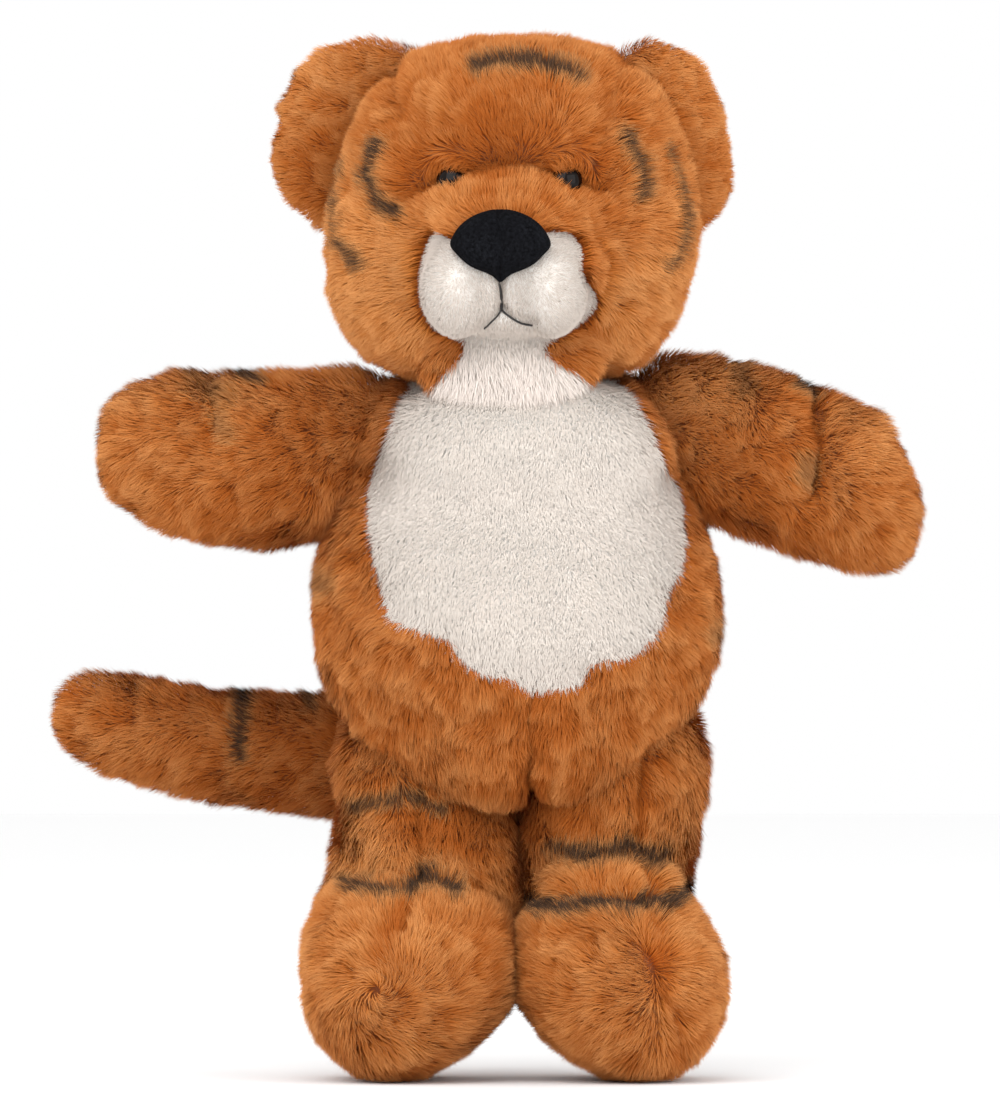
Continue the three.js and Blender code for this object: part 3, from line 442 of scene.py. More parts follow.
# %% Needle strokes
STROKES = {
    "head": [
        (6.5, 4.5, [(-24, 64.5), (-20, 64.5)]), (6.5, 4.5, [(20, 64.5), (24, 64.5)]),
        (5.0, 3.6, [(-33, 57), (-24, 61.5), (-13, 65), (-2, 66.5), (11, 65.5), (20, 62.5), (30, 59)]),
        (5.5, -3.0, [(-17, 53), (-2, 57), (15, 54)]),
        (10.0, -2.0, [(-15, 86), (15, 86)]),
        (1.8, 3.6, [(-1.5, 32), (-1.5, 20)]),
        (1.6, 1.4, [(-1.5, 20.4), (2, 18.8), (5.5, 17.5), (9.5, 16.6)]),
        (1.6, 1.4, [(-1.5, 20.4), (-4, 18.4), (-8, 16)]),
        (3.2, 2.6, [(-39, 112), (-37, 97), (-34, 84)]),
        (3.2, 2.2, [(33, 98), (31, 86), (28, 76)]),
        (9.0, -3.0, [(-46, 50), (-42, 30), (-34, 14)]), (9.0, -3.0, [(46, 50), (42, 30), (34, 14)]),
    ],
    "body": [
        (1.8, 4.0, [(4.5, 129), (4.5, 112)]), (2.6, 8.0, [(4.5, 110), (4.5, 84)]),
        (10.0, -3.0, [(-14, 112), (-14, 100)]), (10.0, -3.0, [(22, 112), (22, 100)]),
    ],
    "leg_left": [
        (2.6, 4.0, [(-33, 120), (-33, 90), (-31, 66)]), (2.6, 2.5, [(-31, 66), (-38, 46)]),
        (3.4, 1.6, [(-64, 64), (-44, 66), (-30, 62), (-8, 60)]), (6.0, -2.5, [(-50, 84), (-42, 76)]),
    ],
    "leg_right": [
        (2.6, 3.5, [(39, 112), (40, 84), (41, 58)]), (2.4, 2.4, [(41, 58), (46, 36), (51, 14)]),
        (3.2, 2.6, [(-2, 58), (18, 58), (38, 57), (64, 64)]),
    ],
    "arm_left": [(5.0, 2.5, [(-103, 240), (-98, 222), (-100, 212)])],
    "arm_right": [
        (3.6, 6.0, [(98, 231), (96.5, 222), (99, 212), (98.5, 202), (96, 196)]),
        (9.0, -2.5, [(116, 215), (112, 195)]),
    ],
}


def distance_to_line(points, line):
    """How far points in a plane lie from a line of straight stretches."""
    line = np.array(line, float)
    nearest = np.full(len(points), 1e9)
    for start, end in zip(line[:-1], line[1:]):
        along = end - start
        share = np.clip(((points - start) @ along) / (along @ along), 0, 1)[:, None]
        nearest = np.minimum(nearest, np.linalg.norm(points - start - share * along, axis=1))
    return nearest


def vertex_normals(piece):
    normals = np.zeros(len(piece.data.vertices) * 3)
    piece.data.vertices.foreach_get("normal", normals)
    return normals.reshape(-1, 3)


def drawn_in(part, points, facing):
    """How far the strokes of a part draw points in, in millimetres, where the cloth is facing forward."""
    seen = straight_head(points) if part == "head" else from_middle(points)
    total = np.zeros(len(points))
    for half_width, depth, line in STROKES.get(part, []):
        total += depth * np.exp(-((distance_to_line(seen[:, [0, 2]], line) / half_width) ** 2))
    return total * facing


def forward_share(normals):
    """1 where the cloth looks forward and 0 at the back, which the threads don't reach."""
    return np.clip(-normals[:, 1] * 2.5 + 0.3, 0, 1)


for part, backing in backings.items():
    if part not in STROKES:
        continue
    if part == "head":
        apply_modifier(backing, "SUBSURF", levels=1, render_levels=1)
    points, normals = coordinates(backing), vertex_normals(backing)
    drawn = drawn_in(part, points, forward_share(normals)) * MM
    set_coordinates(backing, points - normals * drawn[:, None])
    apply_modifier(backing, "SMOOTH", factor=0.5, iterations=1)
print("backing faces", {name: len(piece.data.polygons) for name, piece in backings.items()})

# %% [markdown]
# Pile needs noise at several sizes: tufts lean together, some are longer, some are lighter. A small
# lattice of random values that repeats, read with smooth steps between, gives the same lumps on every
# run.

# %% Lumps
LATTICE_SIDE = 32
SLOPE_STEP = 0.2  # the share of a lump's size over which its rise is measured
lattice = np.random.default_rng(7).random((LATTICE_SIDE,) * 3)


def lumps(points, size):
    """Smooth random values from 0 to 1, that change over about one size."""
    scaled = points / size
    cell = np.floor(scaled).astype(int)
    part = scaled - cell
    part = part * part * (3 - 2 * part)
    low, high = cell % LATTICE_SIDE, (cell + 1) % LATTICE_SIDE
    total = 0
    for corner in range(8):
        picks = [(corner >> axis) & 1 for axis in range(3)]
        index = tuple(np.where(pick, high[:, axis], low[:, axis]) for axis, pick in enumerate(picks))
        shares = [part[:, axis] if pick else 1 - part[:, axis] for axis, pick in enumerate(picks)]
        weight = np.prod(shares, 0)
        total = total + weight * lattice[index]
    return total


def slope(points, size):
    """Lumps and the way that they rise."""
    step = SLOPE_STEP * size
    here = lumps(points, size)
    return here, np.stack([lumps(points + step * axis, size) - here for axis in np.eye(3)], 1) / SLOPE_STEP


print("lumps", lumps(np.array([[0.0, 0.0, 0.0], [0.01, 0.02, 0.03]]), 6 * MM).round(3))

# %% [markdown]
# Pile fabric is woven with its hairs spread evenly over the cloth. A particle system could grow them, but
# it gives no mesh that an export keeps, so the roots are drawn here: each triangle of a backing gets its
# share by its area, and each root takes the smooth normal of the cloth.

# %% Roots
HAIRS_PER_MM2 = 5.0
EAR_HAIRS_PER_MM2 = 7
PALE_SHARE = 1.35  # the belly's white pile is so much denser


def unit(vectors):
    return vectors / np.maximum(np.linalg.norm(vectors, axis=1, keepdims=True), 1e-9)


def tangent(vectors, normals):
    """Directions laid on the surface."""
    return vectors - normals * np.sum(vectors * normals, 1, keepdims=True)


def sample_roots(piece, per_mm2, rng):
    """Points spread evenly over a mesh, with its smooth normals there."""
    mesh = piece.data
    mesh.calc_loop_triangles()
    corners = np.zeros(len(mesh.loop_triangles) * 3, int)
    mesh.loop_triangles.foreach_get("vertices", corners)
    corners = corners.reshape(-1, 3)
    places, normals = coordinates(piece), vertex_normals(piece)
    a, b, c = places[corners[:, 0]], places[corners[:, 1]], places[corners[:, 2]]
    area = np.linalg.norm(np.cross(b - a, c - a), axis=1) / 2 / MM**2
    count = int(area.sum() * per_mm2)
    spread = (np.arange(count) + rng.random(count)) / count * area.sum()
    chosen = corners[np.minimum(np.searchsorted(np.cumsum(area), spread), len(corners) - 1)]
    u, v = rng.random(count), rng.random(count)
    folded = u + v > 1
    u, v = np.where(folded, 1 - u, u)[:, None], np.where(folded, 1 - v, v)[:, None]
    mixed = [values[chosen[:, 0]] * (1 - u - v) + values[chosen[:, 1]] * u + values[chosen[:, 2]] * v
             for values in (places, normals)]
    return mixed[0], unit(mixed[1])


print("pile of", HAIRS_PER_MM2, "hairs to a square millimetre")

# %% [markdown]
# One hair is a kite of two thin triangles: a root, two shoulders half way up, and a tip. The bend between
# the triangles lets it lean, its width is a quarter of a millimetre, and it costs so little that the
# whole coat fits in a model. Real pile leans one way, drifts in swirls, gathers in tufts of two sizes and
# keeps a few stray hairs, and each of these is one term below.

# %% One hair
# Half the width of a hair in millimetres, how it gathers in tufts, how loose it is, how far the light on it
# follows the cloth under it, and how far it may turn about its own line, in radians
PILE_KINDS = {
    "coat": (0.12, 0.9, 0.22, 0.8, 0.85), "belly": (0.115, 0.25, 0.3, 0.97, 0.3),
    "muzzle": (0.11, 0.15, 0.25, 0.9, 0.45),
}
SWIRLS = (17 * MM, 1.5), (7 * MM, 1.3)  # size, and how far it turns the pile, in radians
FINE_TUFT, BROAD_TUFT = (2.2 * MM, 0.9 * MM), (6.0 * MM, 1.9 * MM)  # size, and how far it pulls a hair
SURE_LENGTH, FINE_LENGTH, BROAD_LENGTH, CHANCE_LENGTH = 0.78, 0.16, 0.24, 0.12  # shares of the full length
LEAN_BELOW, LEAN_ABOVE = -0.3, 0.32  # how the two halves of a hair bend from its lean, in radians
PULL_BELOW, PULL_ABOVE = 0.35, 0.75  # the shares of a tuft's pull that the two halves follow
ALONG_LIGHT = 2.2  # how much of the light along a hair is taken off
ROOT_DEPTH = 0.4 * MM  # a root starts under the cloth, so that no gap shows


def turned_about(vectors, normals, angle):
    angle = angle[:, None]
    return vectors * np.cos(angle) + np.cross(normals, vectors) * np.sin(angle)


def hairs(roots, normals, flow, length, lean, rng, half_width, tuft, loose, follow, most_roll):
    """Roots, shoulders and tips of a coat of hairs, the way that each is lit, and its lightness."""
    count = len(roots)
    wander = sum((lumps(roots, size) - 0.5) * turn for size, turn in SWIRLS)
    wander *= 0.4 + 0.6 * tuft
    along = turned_about(unit(tangent(flow, normals) + 1e-9), normals, wander)
    fine, fine_rise = slope(roots, FINE_TUFT[0])
    broad, broad_rise = slope(roots, BROAD_TUFT[0])
    pull = tangent(fine_rise * FINE_TUFT[1] + broad_rise * BROAD_TUFT[1], normals) * tuft
    jitter = tangent(rng.normal(size=(count, 3)), normals) * loose
    grown = SURE_LENGTH + FINE_LENGTH * fine + BROAD_LENGTH * broad + CHANCE_LENGTH * rng.random(count)
    length = (length * grown)[:, None]
    lean = np.broadcast_to(lean, count)[:, None] + rng.normal(size=(count, 1)) * loose * 0.5
    lean = lean + 0.2 * (0.5 - broad[:, None])
    low, high = lean + LEAN_BELOW, lean + LEAN_ABOVE
    sway = unit(along + jitter)
    middle = roots + length * 0.5 * (normals * np.cos(low) + sway * np.sin(low)) + pull * PULL_BELOW
    tips = middle + length * 0.5 * (normals * np.cos(high) + sway * np.sin(high)) + pull * PULL_ABOVE
    axis = unit(tips - roots)
    side = unit(np.cross(axis, normals))
    roll = rng.uniform(-most_roll, most_roll, (count, 1))
    side = side * np.cos(roll) + np.cross(axis, side) * np.sin(roll)
    left, right = middle - side * half_width * MM, middle + side * half_width * MM
    facing = np.sum(np.cross(right - roots, left - roots) * normals, 1) < 0
    left[facing], right[facing] = right[facing], left[facing]
    own = unit(np.cross(right - left, axis))
    own *= np.where(np.sum(own * normals, 1, keepdims=True) < 0, -1, 1)
    lit = unit(normals * follow + own * (1 - follow))
    lit = unit(lit - axis * np.sum(lit * axis, 1, keepdims=True) * (1 - follow) * ALONG_LIGHT)
    tone = 0.5 * fine + 0.5 * broad
    return np.stack([roots - normals * ROOT_DEPTH, right, left, tips], 1), lit, tone


print("kinds of pile", {kind: f"{values[0] * 2} mm wide" for kind, values in PILE_KINDS.items()})

# %% [markdown]
# Nearly a million hairs are too many for an operator, so each pile is one mesh filled from arrays. A
# hair's two UV values aren't a place in a picture: one says how far up the hair a corner lies and the
# other how light or how striped the hair is, so that the material colours every hair by itself. A stored
# normal gives the light on it.

# %% Meshes of hairs


UV_EDGE, UV_WIDTH = 0.01, 0.006  # keeps a hair's corners inside the UV square, and apart


def hair_uv(rows):
    """The UV corners of each hair: how far up it a corner lies, and its row."""
    uv = np.empty((len(rows), 6, 2), np.float32)
    uv[:, :, 0] = np.array([UV_EDGE, 0.5, 0.5, 0.5, 1 - UV_EDGE, 0.5])
    sides = np.array([0, 1, -1, 1, 0, -1]) * UV_WIDTH
    uv[:, :, 1] = np.clip(rows, UV_EDGE, 1 - UV_EDGE)[:, None] + sides
    return uv


def pile_mesh(name, strands, lit, rows):
    """A mesh of hairs. Rows are the second UV value of each hair."""
    count = len(strands)
    mesh = bpy.data.meshes.new(name)
    mesh.vertices.add(count * 4)
    mesh.vertices.foreach_set("co", strands.reshape(-1))
    order = np.array([0, 1, 2, 1, 3, 2])
    corners = (np.arange(count)[:, None] * 4 + order).reshape(-1)
    mesh.loops.add(len(corners))
    mesh.loops.foreach_set("vertex_index", corners.astype(np.int32))
    mesh.polygons.add(count * 2)
    mesh.polygons.foreach_set("loop_start", np.arange(0, len(corners), 3, dtype=np.int32))
    mesh.polygons.foreach_set("use_smooth", np.ones(count * 2, bool))
    mesh.uv_layers.new(name="OFBake").data.foreach_set("uv", hair_uv(rows).reshape(-1))
    normals = mesh.attributes.new("custom_normal", "FLOAT_VECTOR", "POINT")
    normals.data.foreach_set("vector", np.repeat(lit, 4, 0).astype(np.float32).reshape(-1))
    mesh.update()
    return new_piece(name, mesh)


print("a hair's corners", hair_uv(np.array([0.5])).round(3).tolist())

# %% [markdown]
# The stripes of such a toy are airbrushed on the finished pile, so they are soft, a little ragged and go
# only as deep as the tips. Each line below is a stroke of the airbrush in the front view, as half its
# width in millimetres, its strength and its route. Hairs are dyed one by one, where a picture laid on the
# toy would blur over the tufts. The photograph doesn't show the back, so the stripes at the toy's sides
# are led on round it.

# %% Stripes
STRIPES = {
    "head": [
        (3.0, 0.95, [(-14, 337), (-6.8, 339), (5.3, 339), (15.7, 336.3), (21.3, 334)]),
        (2.4, 0.9, [(-47.3, 311.7), (-50.3, 302), (-49, 297), (-45, 290), (-41.4, 287.7)]),
        (1.5, 0.7, [(-59.7, 306.3), (-62.5, 297), (-62, 285.7), (-60.7, 278.2)]),
        (2.2, 0.75, [(-60.7, 278.2), (-57.3, 275.3), (-53.7, 269.7)]),
        (2.4, 0.8, [(36.7, 313.7), (38.2, 309), (41.3, 304.3), (43.3, 297.8), (42.3, 293.2)]),
        (1.5, 0.75, [(51.3, 310), (54, 300.7), (57.3, 289.3), (57.3, 281), (53.7, 272.7), (50.3, 268.8)]),
    ],
    "arm_left": [
        (2.0, 0.5, [(-110, 237), (-97, 237.5)]), (2.4, 0.8, [(-93, 236), (-87, 233.5)]),
        (4.0, 0.35, [(-108, 232), (-97, 228)]), (3.5, 0.3, [(-99, 220), (-97, 215)]),
    ],
    "arm_right": [
        (3.5, 0.45, [(75, 238), (76, 231)]), (2.4, 0.8, [(96, 233), (100, 229)]),
        (3, 0.45, [(97, 205), (96, 200)]),
    ],
    "body": [(4.0, 0.4, [(-70, 166), (-65, 164)]), (3.5, 0.35, [(70, 150), (67, 147)])],
    "leg_left": [
        (2.2, 0.75, [(-54.7, 91), (-43.8, 92.7), (-35.8, 94), (-25, 89)]),
        (2.2, 0.8, [(-58, 66), (-47.3, 64), (-35.8, 65)]),
        (2.8, 0.95, [(-35.8, 65), (-29.5, 69.4), (-19.7, 65)]),
    ],
    "leg_right": [
        (2.6, 0.9, [(11.4, 76.3), (23.8, 75.4), (36.3, 77.3), (48.7, 74)]),
        (2.4, 1.0, [(4.7, 58.2), (14.3, 58.2), (25.7, 61), (37.2, 59.7), (43.9, 61), (52.5, 60),
                    (58.3, 64)]),
    ],
    "tail": [(2.6, 1.0, [(-93.3, 128.5), (-94.4, 106)]), (2.0, 0.7, [(-73.3, 132), (-69.7, 124)])],
}


STRIPES_BEHIND = {
    "body": [
        (2.8, 0.85, [(-70, 166), (-56, 170), (-40, 166), (-28, 168)]),
        (2.8, 0.85, [(70, 150), (56, 154), (40, 149), (27, 151)]),
        (2.8, 0.8, [(-60, 196), (-44, 200), (-30, 196)]), (2.8, 0.8, [(62, 184), (46, 187), (32, 183)]),
    ],
    "head": [
        (2.6, 0.85, [(-50, 300), (-36, 305), (-20, 301)]), (2.6, 0.85, [(52, 292), (38, 297), (22, 292)]),
        (2.6, 0.8, [(-12, 322), (0, 325), (14, 321)]),
    ],
}


RAGGED_SIZE, RAGGED_BY = 5 * MM, 2.4  # the size of the rags at a stripe's edge, and their reach in mm
STRAY = 0.9  # how far single hairs stray from their stripe, in millimetres
FADE = 0.2  # how much the dye differs from hair to hair
STRONGEST = 0.95


def stripe_strength(part, points, rng):
    """How strongly each hair is dyed, from 0 to 1, by soft lines laid on from the front or the back."""
    strength = np.zeros(len(points))
    fade = rng.uniform(-FADE, FADE, len(points))
    place = (points - np.array([MIDDLE_X, 0, 0])) / MM
    ragged = (lumps(points, RAGGED_SIZE)[:, None] - 0.5) * RAGGED_BY
    seen = place[:, [0, 2]] + ragged + rng.normal(size=(len(points), 2)) * STRAY
    behind = points[:, 1] > MIDDLE_Y + 4 * MM
    for table, side in ((STRIPES, ~behind if part in STRIPES_BEHIND else True), (STRIPES_BEHIND, behind)):
        for half_width, most, line in table.get(part, []):
            nearest = distance_to_line(seen, line)
            dyed = most * np.clip(1.2 - nearest / half_width * 0.75 + fade, 0, 1)
            strength = np.maximum(strength, dyed * side)
    return np.clip(strength, 0, STRONGEST)


print("stripes", {part: len(lines) for part, lines in STRIPES.items()})

# %% [markdown]
# Soft patches of painted light and painted shade. They are lighter where the light falls full on the coat or
# where a shadow is lifted, as on the right shoulder and the top of the belly. They are darker by the eyes,
# in hollows and at the roots of the tail and the ears. Along a seam the pile lies flatter, under a band of
# painted shade. Each patch is a radius in millimetres, how much lighter it is and its place in the front
# view, and each seam has a line.

# %% Painted light and shade
# patches of painted light where light falls or a shadow is lifted, and of painted shade in hollows, by the
# eyes and at the roots of the tail and ears
PAINTED_LIGHT_AND_SHADE = {
    "head": [
        (9, -0.5, (-9, 310)), (24, -0.3, (-2, 320)), (20, 0.7, (-44, 262)), (18, 0.35, (40, 262)),
        (13, -0.1, (-2, 289)), (14, 0.25, (-40, 280)),
        (12, 0.25, (-2, 341)), (7, -0.45, (23, 300)), (8, -0.45, (-32, 297)), (14, 0.15, (-52, 290)),
    ],
    "arm_left": [
        (14, 0.35, (-50, 232)), (18, 0.25, (-125, 212)), (10, -0.2, (-65, 212)), (20, -0.15, (-85, 195)),
    ],
    "arm_right": [
        (18, 1.2, (54, 236)), (22, -0.3, (76, 194)), (14, 0.3, (116, 212)), (10, -0.15, (105, 192)),
        (12, 0.3, (58, 238)),
    ],
    "body": [(30, -0.25, (4, 112)), (22, 0.6, (3, 232))],
    "leg_left": [
        (12, -0.4, (-20, 90)), (13, 0.4, (-52, 78)), (26, 0.4, (-50, 38)), (9, 0.5, (-52, 70)),
        (9, 0.3, (-22, 68)),
    ],
    "leg_right": [
        (14, -0.35, (14, 92)), (10, 0.25, (55, 88)), (24, 0.25, (38, 34)), (8, 0.7, (20, 70)),
        (9, 0.7, (42, 70)), (12, 0.3, (62, 40)),
    ],
    "tail": [(16, -0.6, (-70, 112)), (14, 0.35, (-146, 120)), (40, -0.2, (-105, 115))],
    "ear_left": [(12, 0.5, (-64, 342)), (9, -0.4, (-62, 303)), (14, 0.35, (-76, 325))],
    "ear_right": [(12, 0.5, (54, 342)), (9, -0.4, (58, 303)), (12, 0.35, (66, 310))],
}
# bands of painted shade in the creases along the legs' seams and between the legs
PAINTED_SEAM_SHADE = {
    "leg_left": [
        (3.4, -0.7, [(-32, 112), (-33, 90), (-31, 68), (-37, 54), (-45, 38)]),
        (9, -0.3, [(-20, 100), (-18, 72)]),
    ],
    "leg_right": [
        (3.0, -0.5, [(41, 104), (40, 84), (41, 62)]), (3.0, -0.3, [(43, 50), (47, 34), (50, 14)]),
        (9, -0.25, [(12, 98), (20, 76)]),
    ],
}


def shade(part, points):
    """Painted light and shade: how much lighter or darker the coat is in patches and seams, seen from the
    front.
    """
    seen = from_middle(points)[:, [0, 2]]
    total = np.zeros(len(points))
    for half_width, amount, line in PAINTED_SEAM_SHADE.get(part, []):
        total += amount * np.exp(-((distance_to_line(seen, line) / half_width) ** 2))
    for radius, amount, centre in PAINTED_LIGHT_AND_SHADE.get(part, []):
        total += amount * np.exp(-((np.linalg.norm(seen - np.array(centre), axis=1) / radius) ** 2))
    return total * np.where(points[:, 1] < MIDDLE_Y + 10 * MM, 1, 0.3)


print("patches", sum(len(patches) for patches in PAINTED_LIGHT_AND_SHADE.values()), "seams", len(PAINTED_SEAM_SHADE))

# %% [markdown]
# The eyes are domed safety eyes on stems, drawn deep into the head. The CAD gives the place of each eye
# and of the lock washer behind the cloth, and the line between the two is the stem's. The nose is a small
# stuffed pad of black velour with a fold down its middle, and the mouth is one thick thread that lies in
# the parting.

# %% Eyes
EYE_RADIUS, EYE_DOME = 5.25, 4.0  # the radius and the height of the dome, in millimetres


def middle_of(node_name):
    piece = frame["nodes"][node_name]
    return coordinates(piece).mean(0)


eye_at, eye_way, eye_seat = {}, {}, {}
for side_name in SIDE:
    eye_at[side_name] = middle_of(f"eye_{side_name}")
    way = eye_at[side_name] - middle_of(f"eye_washer_{side_name}")
    eye_way[side_name] = way / np.linalg.norm(way)
    heights = (coordinates(frame["nodes"][f"eye_{side_name}"]) - eye_at[side_name]) @ eye_way[side_name]
    eye_seat[side_name] = heights.max() - EYE_DOME * MM
print("eyes", eye_at, eye_way)

# %% [markdown]
# The cutter turns each panel so that its pile strokes away from the nose, down the body and out along the
# arms, ears and tail. On the feet it parts over the toes, in a whorl on the left one and along a short
# line on the right. A flow is a direction for each root. Only its part along the cloth counts, so simple
# directions are enough.

# %% Which way the pile lies
NOSE_AT = at_neck((0, -70, 44))
CHIN_TOP = 247 * MM
# The two ends of the line where the pile parts, in millimetres from the toy's middle and the floor
TOE_PARTING = {"left": [(-47, -58, 32), (-47, -58, 32)], "right": [(43, -50, 50), (51, -64, 16)]}
WHORL_TURN = {"left": 0.7, "right": -0.25}  # radians, as a whorl turns rather than parting like a star
ANKLE_HEIGHT, ANKLE_BAND = 64 * MM, 9 * MM  # the pile of the foot gives way to the leg's over this height
INSTEP_HEIGHT, INSTEP_BAND = 82 * MM, 8 * MM  # and higher up where the cloth looks upwards
DOWN_LEG = np.array([0, -0.5, -1.0])
DOWN = np.array([0, 0, -1.0])
BEHIND_BAND = 40 * MM  # how far behind the toy's middle the pile of the head lies straight down
CHIN_BAND, CHIN_FRONT = 8 * MM, 18 * MM  # the height and the depth over which the chin's own way takes over
CHIN_HALF = 30  # half the chin's width in millimetres, over which its pile fans out
LID_REACH, LID_BAND = 12 * MM, 4 * MM  # how far from an eye its lid's pile lies to it, and how that fades


def head_flow(p, n):
    """Away from the nose over the whole head, down at the back and under the chin, and over the eyes."""
    away = unit(p - NOSE_AT)
    behind = np.clip((p[:, 1:2] - MIDDLE_Y) / BEHIND_BAND, 0, 1)
    lies = away * (1 - behind) + DOWN * behind + DOWN * 0.12
    chin = np.clip((CHIN_TOP - p[:, 2:3]) / CHIN_BAND, 0, 1) * (p[:, 1:2] < MIDDLE_Y - CHIN_FRONT)
    fan = straight_head(p)[:, 0:1] / CHIN_HALF * ACROSS
    lies = lies * (1 - chin) + (np.array([0, -0.3, -1.0]) + fan) * chin
    for side_name, side in SIDE.items():
        offset = p - eye_at[side_name]
        above = np.clip(offset @ np.array([side * 0.6, 0, 0.8]) / (2 * MM) + 0.5, 0, 1)[:, None]
        near = np.clip((LID_REACH - np.linalg.norm(offset, axis=1)[:, None]) / LID_BAND, 0, 1) * above
        lies = lies * (1 - near) + (unit(-offset) + DOWN * 0.5) * near
    return lies


def body_flow(p, n):
    """Down the body, and outwards a little at its sides."""
    side = (p[:, 0:1] - MIDDLE_X) / (60 * MM)
    return DOWN + ACROSS * 0.5 * side


def flow_along(way, droop):
    """Along an arm, the tail or an ear, and down a little."""
    return lambda p, n: np.tile(way + DOWN * droop, (len(p), 1))


def leg_flow(side_name):
    """Down the leg, and away from the parting over the whole foot."""
    start, end = (toy(*place) for place in TOE_PARTING[side_name])
    line = end - start

    def flow(p, n):
        share = np.clip((p - start) @ line / max(line @ line, MM * MM), 0, 1)
        away = p - start - share[:, None] * line
        from_toe = turned_about(unit(tangent(away, n)), n, np.full(len(p), WHORL_TURN[side_name]))
        height = p[:, 2:3]
        upwards = np.clip((n[:, 2:3] - 0.15) / 0.3, 0, 1)
        on_top = upwards * np.clip((INSTEP_HEIGHT - height) / INSTEP_BAND, 0, 1)
        foot = np.maximum(np.clip((ANKLE_HEIGHT - height) / ANKLE_BAND, 0, 1), on_top)
        return from_toe * foot + DOWN_LEG * (1 - foot)
    return flow


print("nose at", (NOSE_AT / MM).round(1), "mm")

# %% [markdown]
# The coat is sewn from panels, and each is a piece of its own, so that it can be named, coloured and
# swapped. The white belly and muzzle have outlines that were read off the photograph as a few corners in
# the front view, with a smooth line through them. The other seams are planes, as on the CAD's solids.

# %% Panels
BELLY_OUTLINE = [
    (-33, 240), (-33.8, 231), (-37, 219), (-41.8, 209), (-46, 198), (-45.7, 178), (-43.3, 166.5),
    (-38.7, 154), (-31.6, 151.5), (-22.8, 148), (-19.6, 143), (-11.7, 137.4), (-3, 135.7), (6.6, 132.4),
    (21, 134.5), (24.7, 140.7), (36.7, 143), (44.5, 151.4), (47.7, 163), (51.8, 171), (52.2, 179.4),
    (51, 194.4), (46, 204), (40.6, 215.7), (36, 224), (30, 233), (29, 240),
]
MUZZLE_OUTLINE = [
    (-16, 277), (-20.5, 281.2), (-24.5, 279), (-27.6, 271), (-29, 262), (-27.5, 254.3), (-22.4, 248.3),
    (-15, 245.5), (-15, 241), (-22, 234.5), (-35, 224), (36, 224), (25, 233), (14, 239), (11, 243.5),
    (17, 247.5), (26, 254.5), (27.6, 259.5), (23.8, 267), (23, 275), (18.2, 280.2), (13, 279.5),
]


def round_outline(corners, steps=4):
    """A closed smooth line through corners."""
    corners = np.array(corners, float)
    line = []
    for i in range(len(corners)):
        a, b, c, d = (corners[(i + k) % len(corners)] for k in (-1, 0, 1, 2))
        for t in np.arange(steps) / steps:
            line.append(0.5 * (2 * b + (c - a) * t + (2 * a - 5 * b + 4 * c - d) * t**2
                               + (3 * b - a - 3 * c + d) * t**3))
    return np.array(line)


def within(outline, points):
    """Whether points in a plane lie inside a closed line."""
    inside = np.zeros(len(points), bool)
    for a, b in zip(outline, np.roll(outline, -1, 0)):
        crosses = (a[1] > points[:, 1]) != (b[1] > points[:, 1])
        where = a[0] + (points[:, 1] - a[1]) / (b[1] - a[1] + 1e-12) * (b[0] - a[0])
        inside ^= crosses & (points[:, 0] < where)
    return inside


belly_line, muzzle_line = round_outline(BELLY_OUTLINE), round_outline(MUZZLE_OUTLINE)
BODY_SEAM, BACK_SEAM, GUSSET = 4, 6, 14  # the front and side seams of the body and half the head's gusset


def body_panels(p):
    x, y, z = from_middle(p).T
    belly = within(belly_line, np.stack([x, z], 1)) & (y < 0)
    front, back = (y < BACK_SEAM) & ~belly, y >= BACK_SEAM
    return {
        "belly_panel": belly,
        "body_front_left": front & (x < BODY_SEAM), "body_front_right": front & (x >= BODY_SEAM),
        "body_back_left": back & (x < 0), "body_back_right": back & (x >= 0),
    }


def head_panels(p):
    x, y, _ = straight_head(p).T
    muzzle = within(muzzle_line, np.stack([x, p[:, 2] / MM], 1)) & (y < -2)
    muzzle |= (y < -46) & (np.abs(x) < 26) & (p[:, 2] < 258 * MM)  # the underside of the lips
    return {
        "muzzle_skin": muzzle,
        "head_side_left": (x < -GUSSET) & ~muzzle, "head_side_right": (x > GUSSET) & ~muzzle,
        "head_gusset": (np.abs(x) <= GUSSET) & ~muzzle,
    }


print("outlines", {"belly": len(belly_line), "muzzle": len(muzzle_line)})

# %% [markdown]
# Plush is matte, and its colour changes along each hair. The orange is deep and saturated at the root, as
# painted shade where little light gets in, and pale at the tip. The white piles are painted lighter at the
# root than at the tip instead, as painted light against the shade between their hairs. Two ramps along the
# hair, one for dark hairs and one for light ones, are mixed by the hair's own row, and a third lies over
# them where it is dyed. A picture can't do this on hairs, so all of it is procedural.

# %% Material helpers
def new_material(name):
    material = bpy.data.materials.new(name)
    material.use_nodes = True
    tree = material.node_tree
    return material, tree, tree.nodes["Principled BSDF"]


def node(tree, kind, inputs=(), **settings):
    made = tree.nodes.new(kind)
    for key, value in settings.items():
        setattr(made, key, value)
    for key, value in dict(inputs).items():
        if isinstance(value, bpy.types.NodeSocket):
            tree.links.new(value, made.inputs[key])
        else:
            made.inputs[key].default_value = value
    return made


def set_inputs(shader, **values):
    """Sets plain inputs. An underscore in a name stands for a space."""
    for name, value in values.items():
        shader.inputs[name.replace("_", " ")].default_value = value


def ramp(tree, value, stops):
    made = node(tree, "ShaderNodeValToRGB", {"Fac": value})
    elements = made.color_ramp.elements
    while len(elements) < len(stops):
        elements.new(0.5)
    for element, (place, color) in zip(elements, stops):
        element.position = place
        element.color = (*color, 1)
    return made.outputs["Color"]


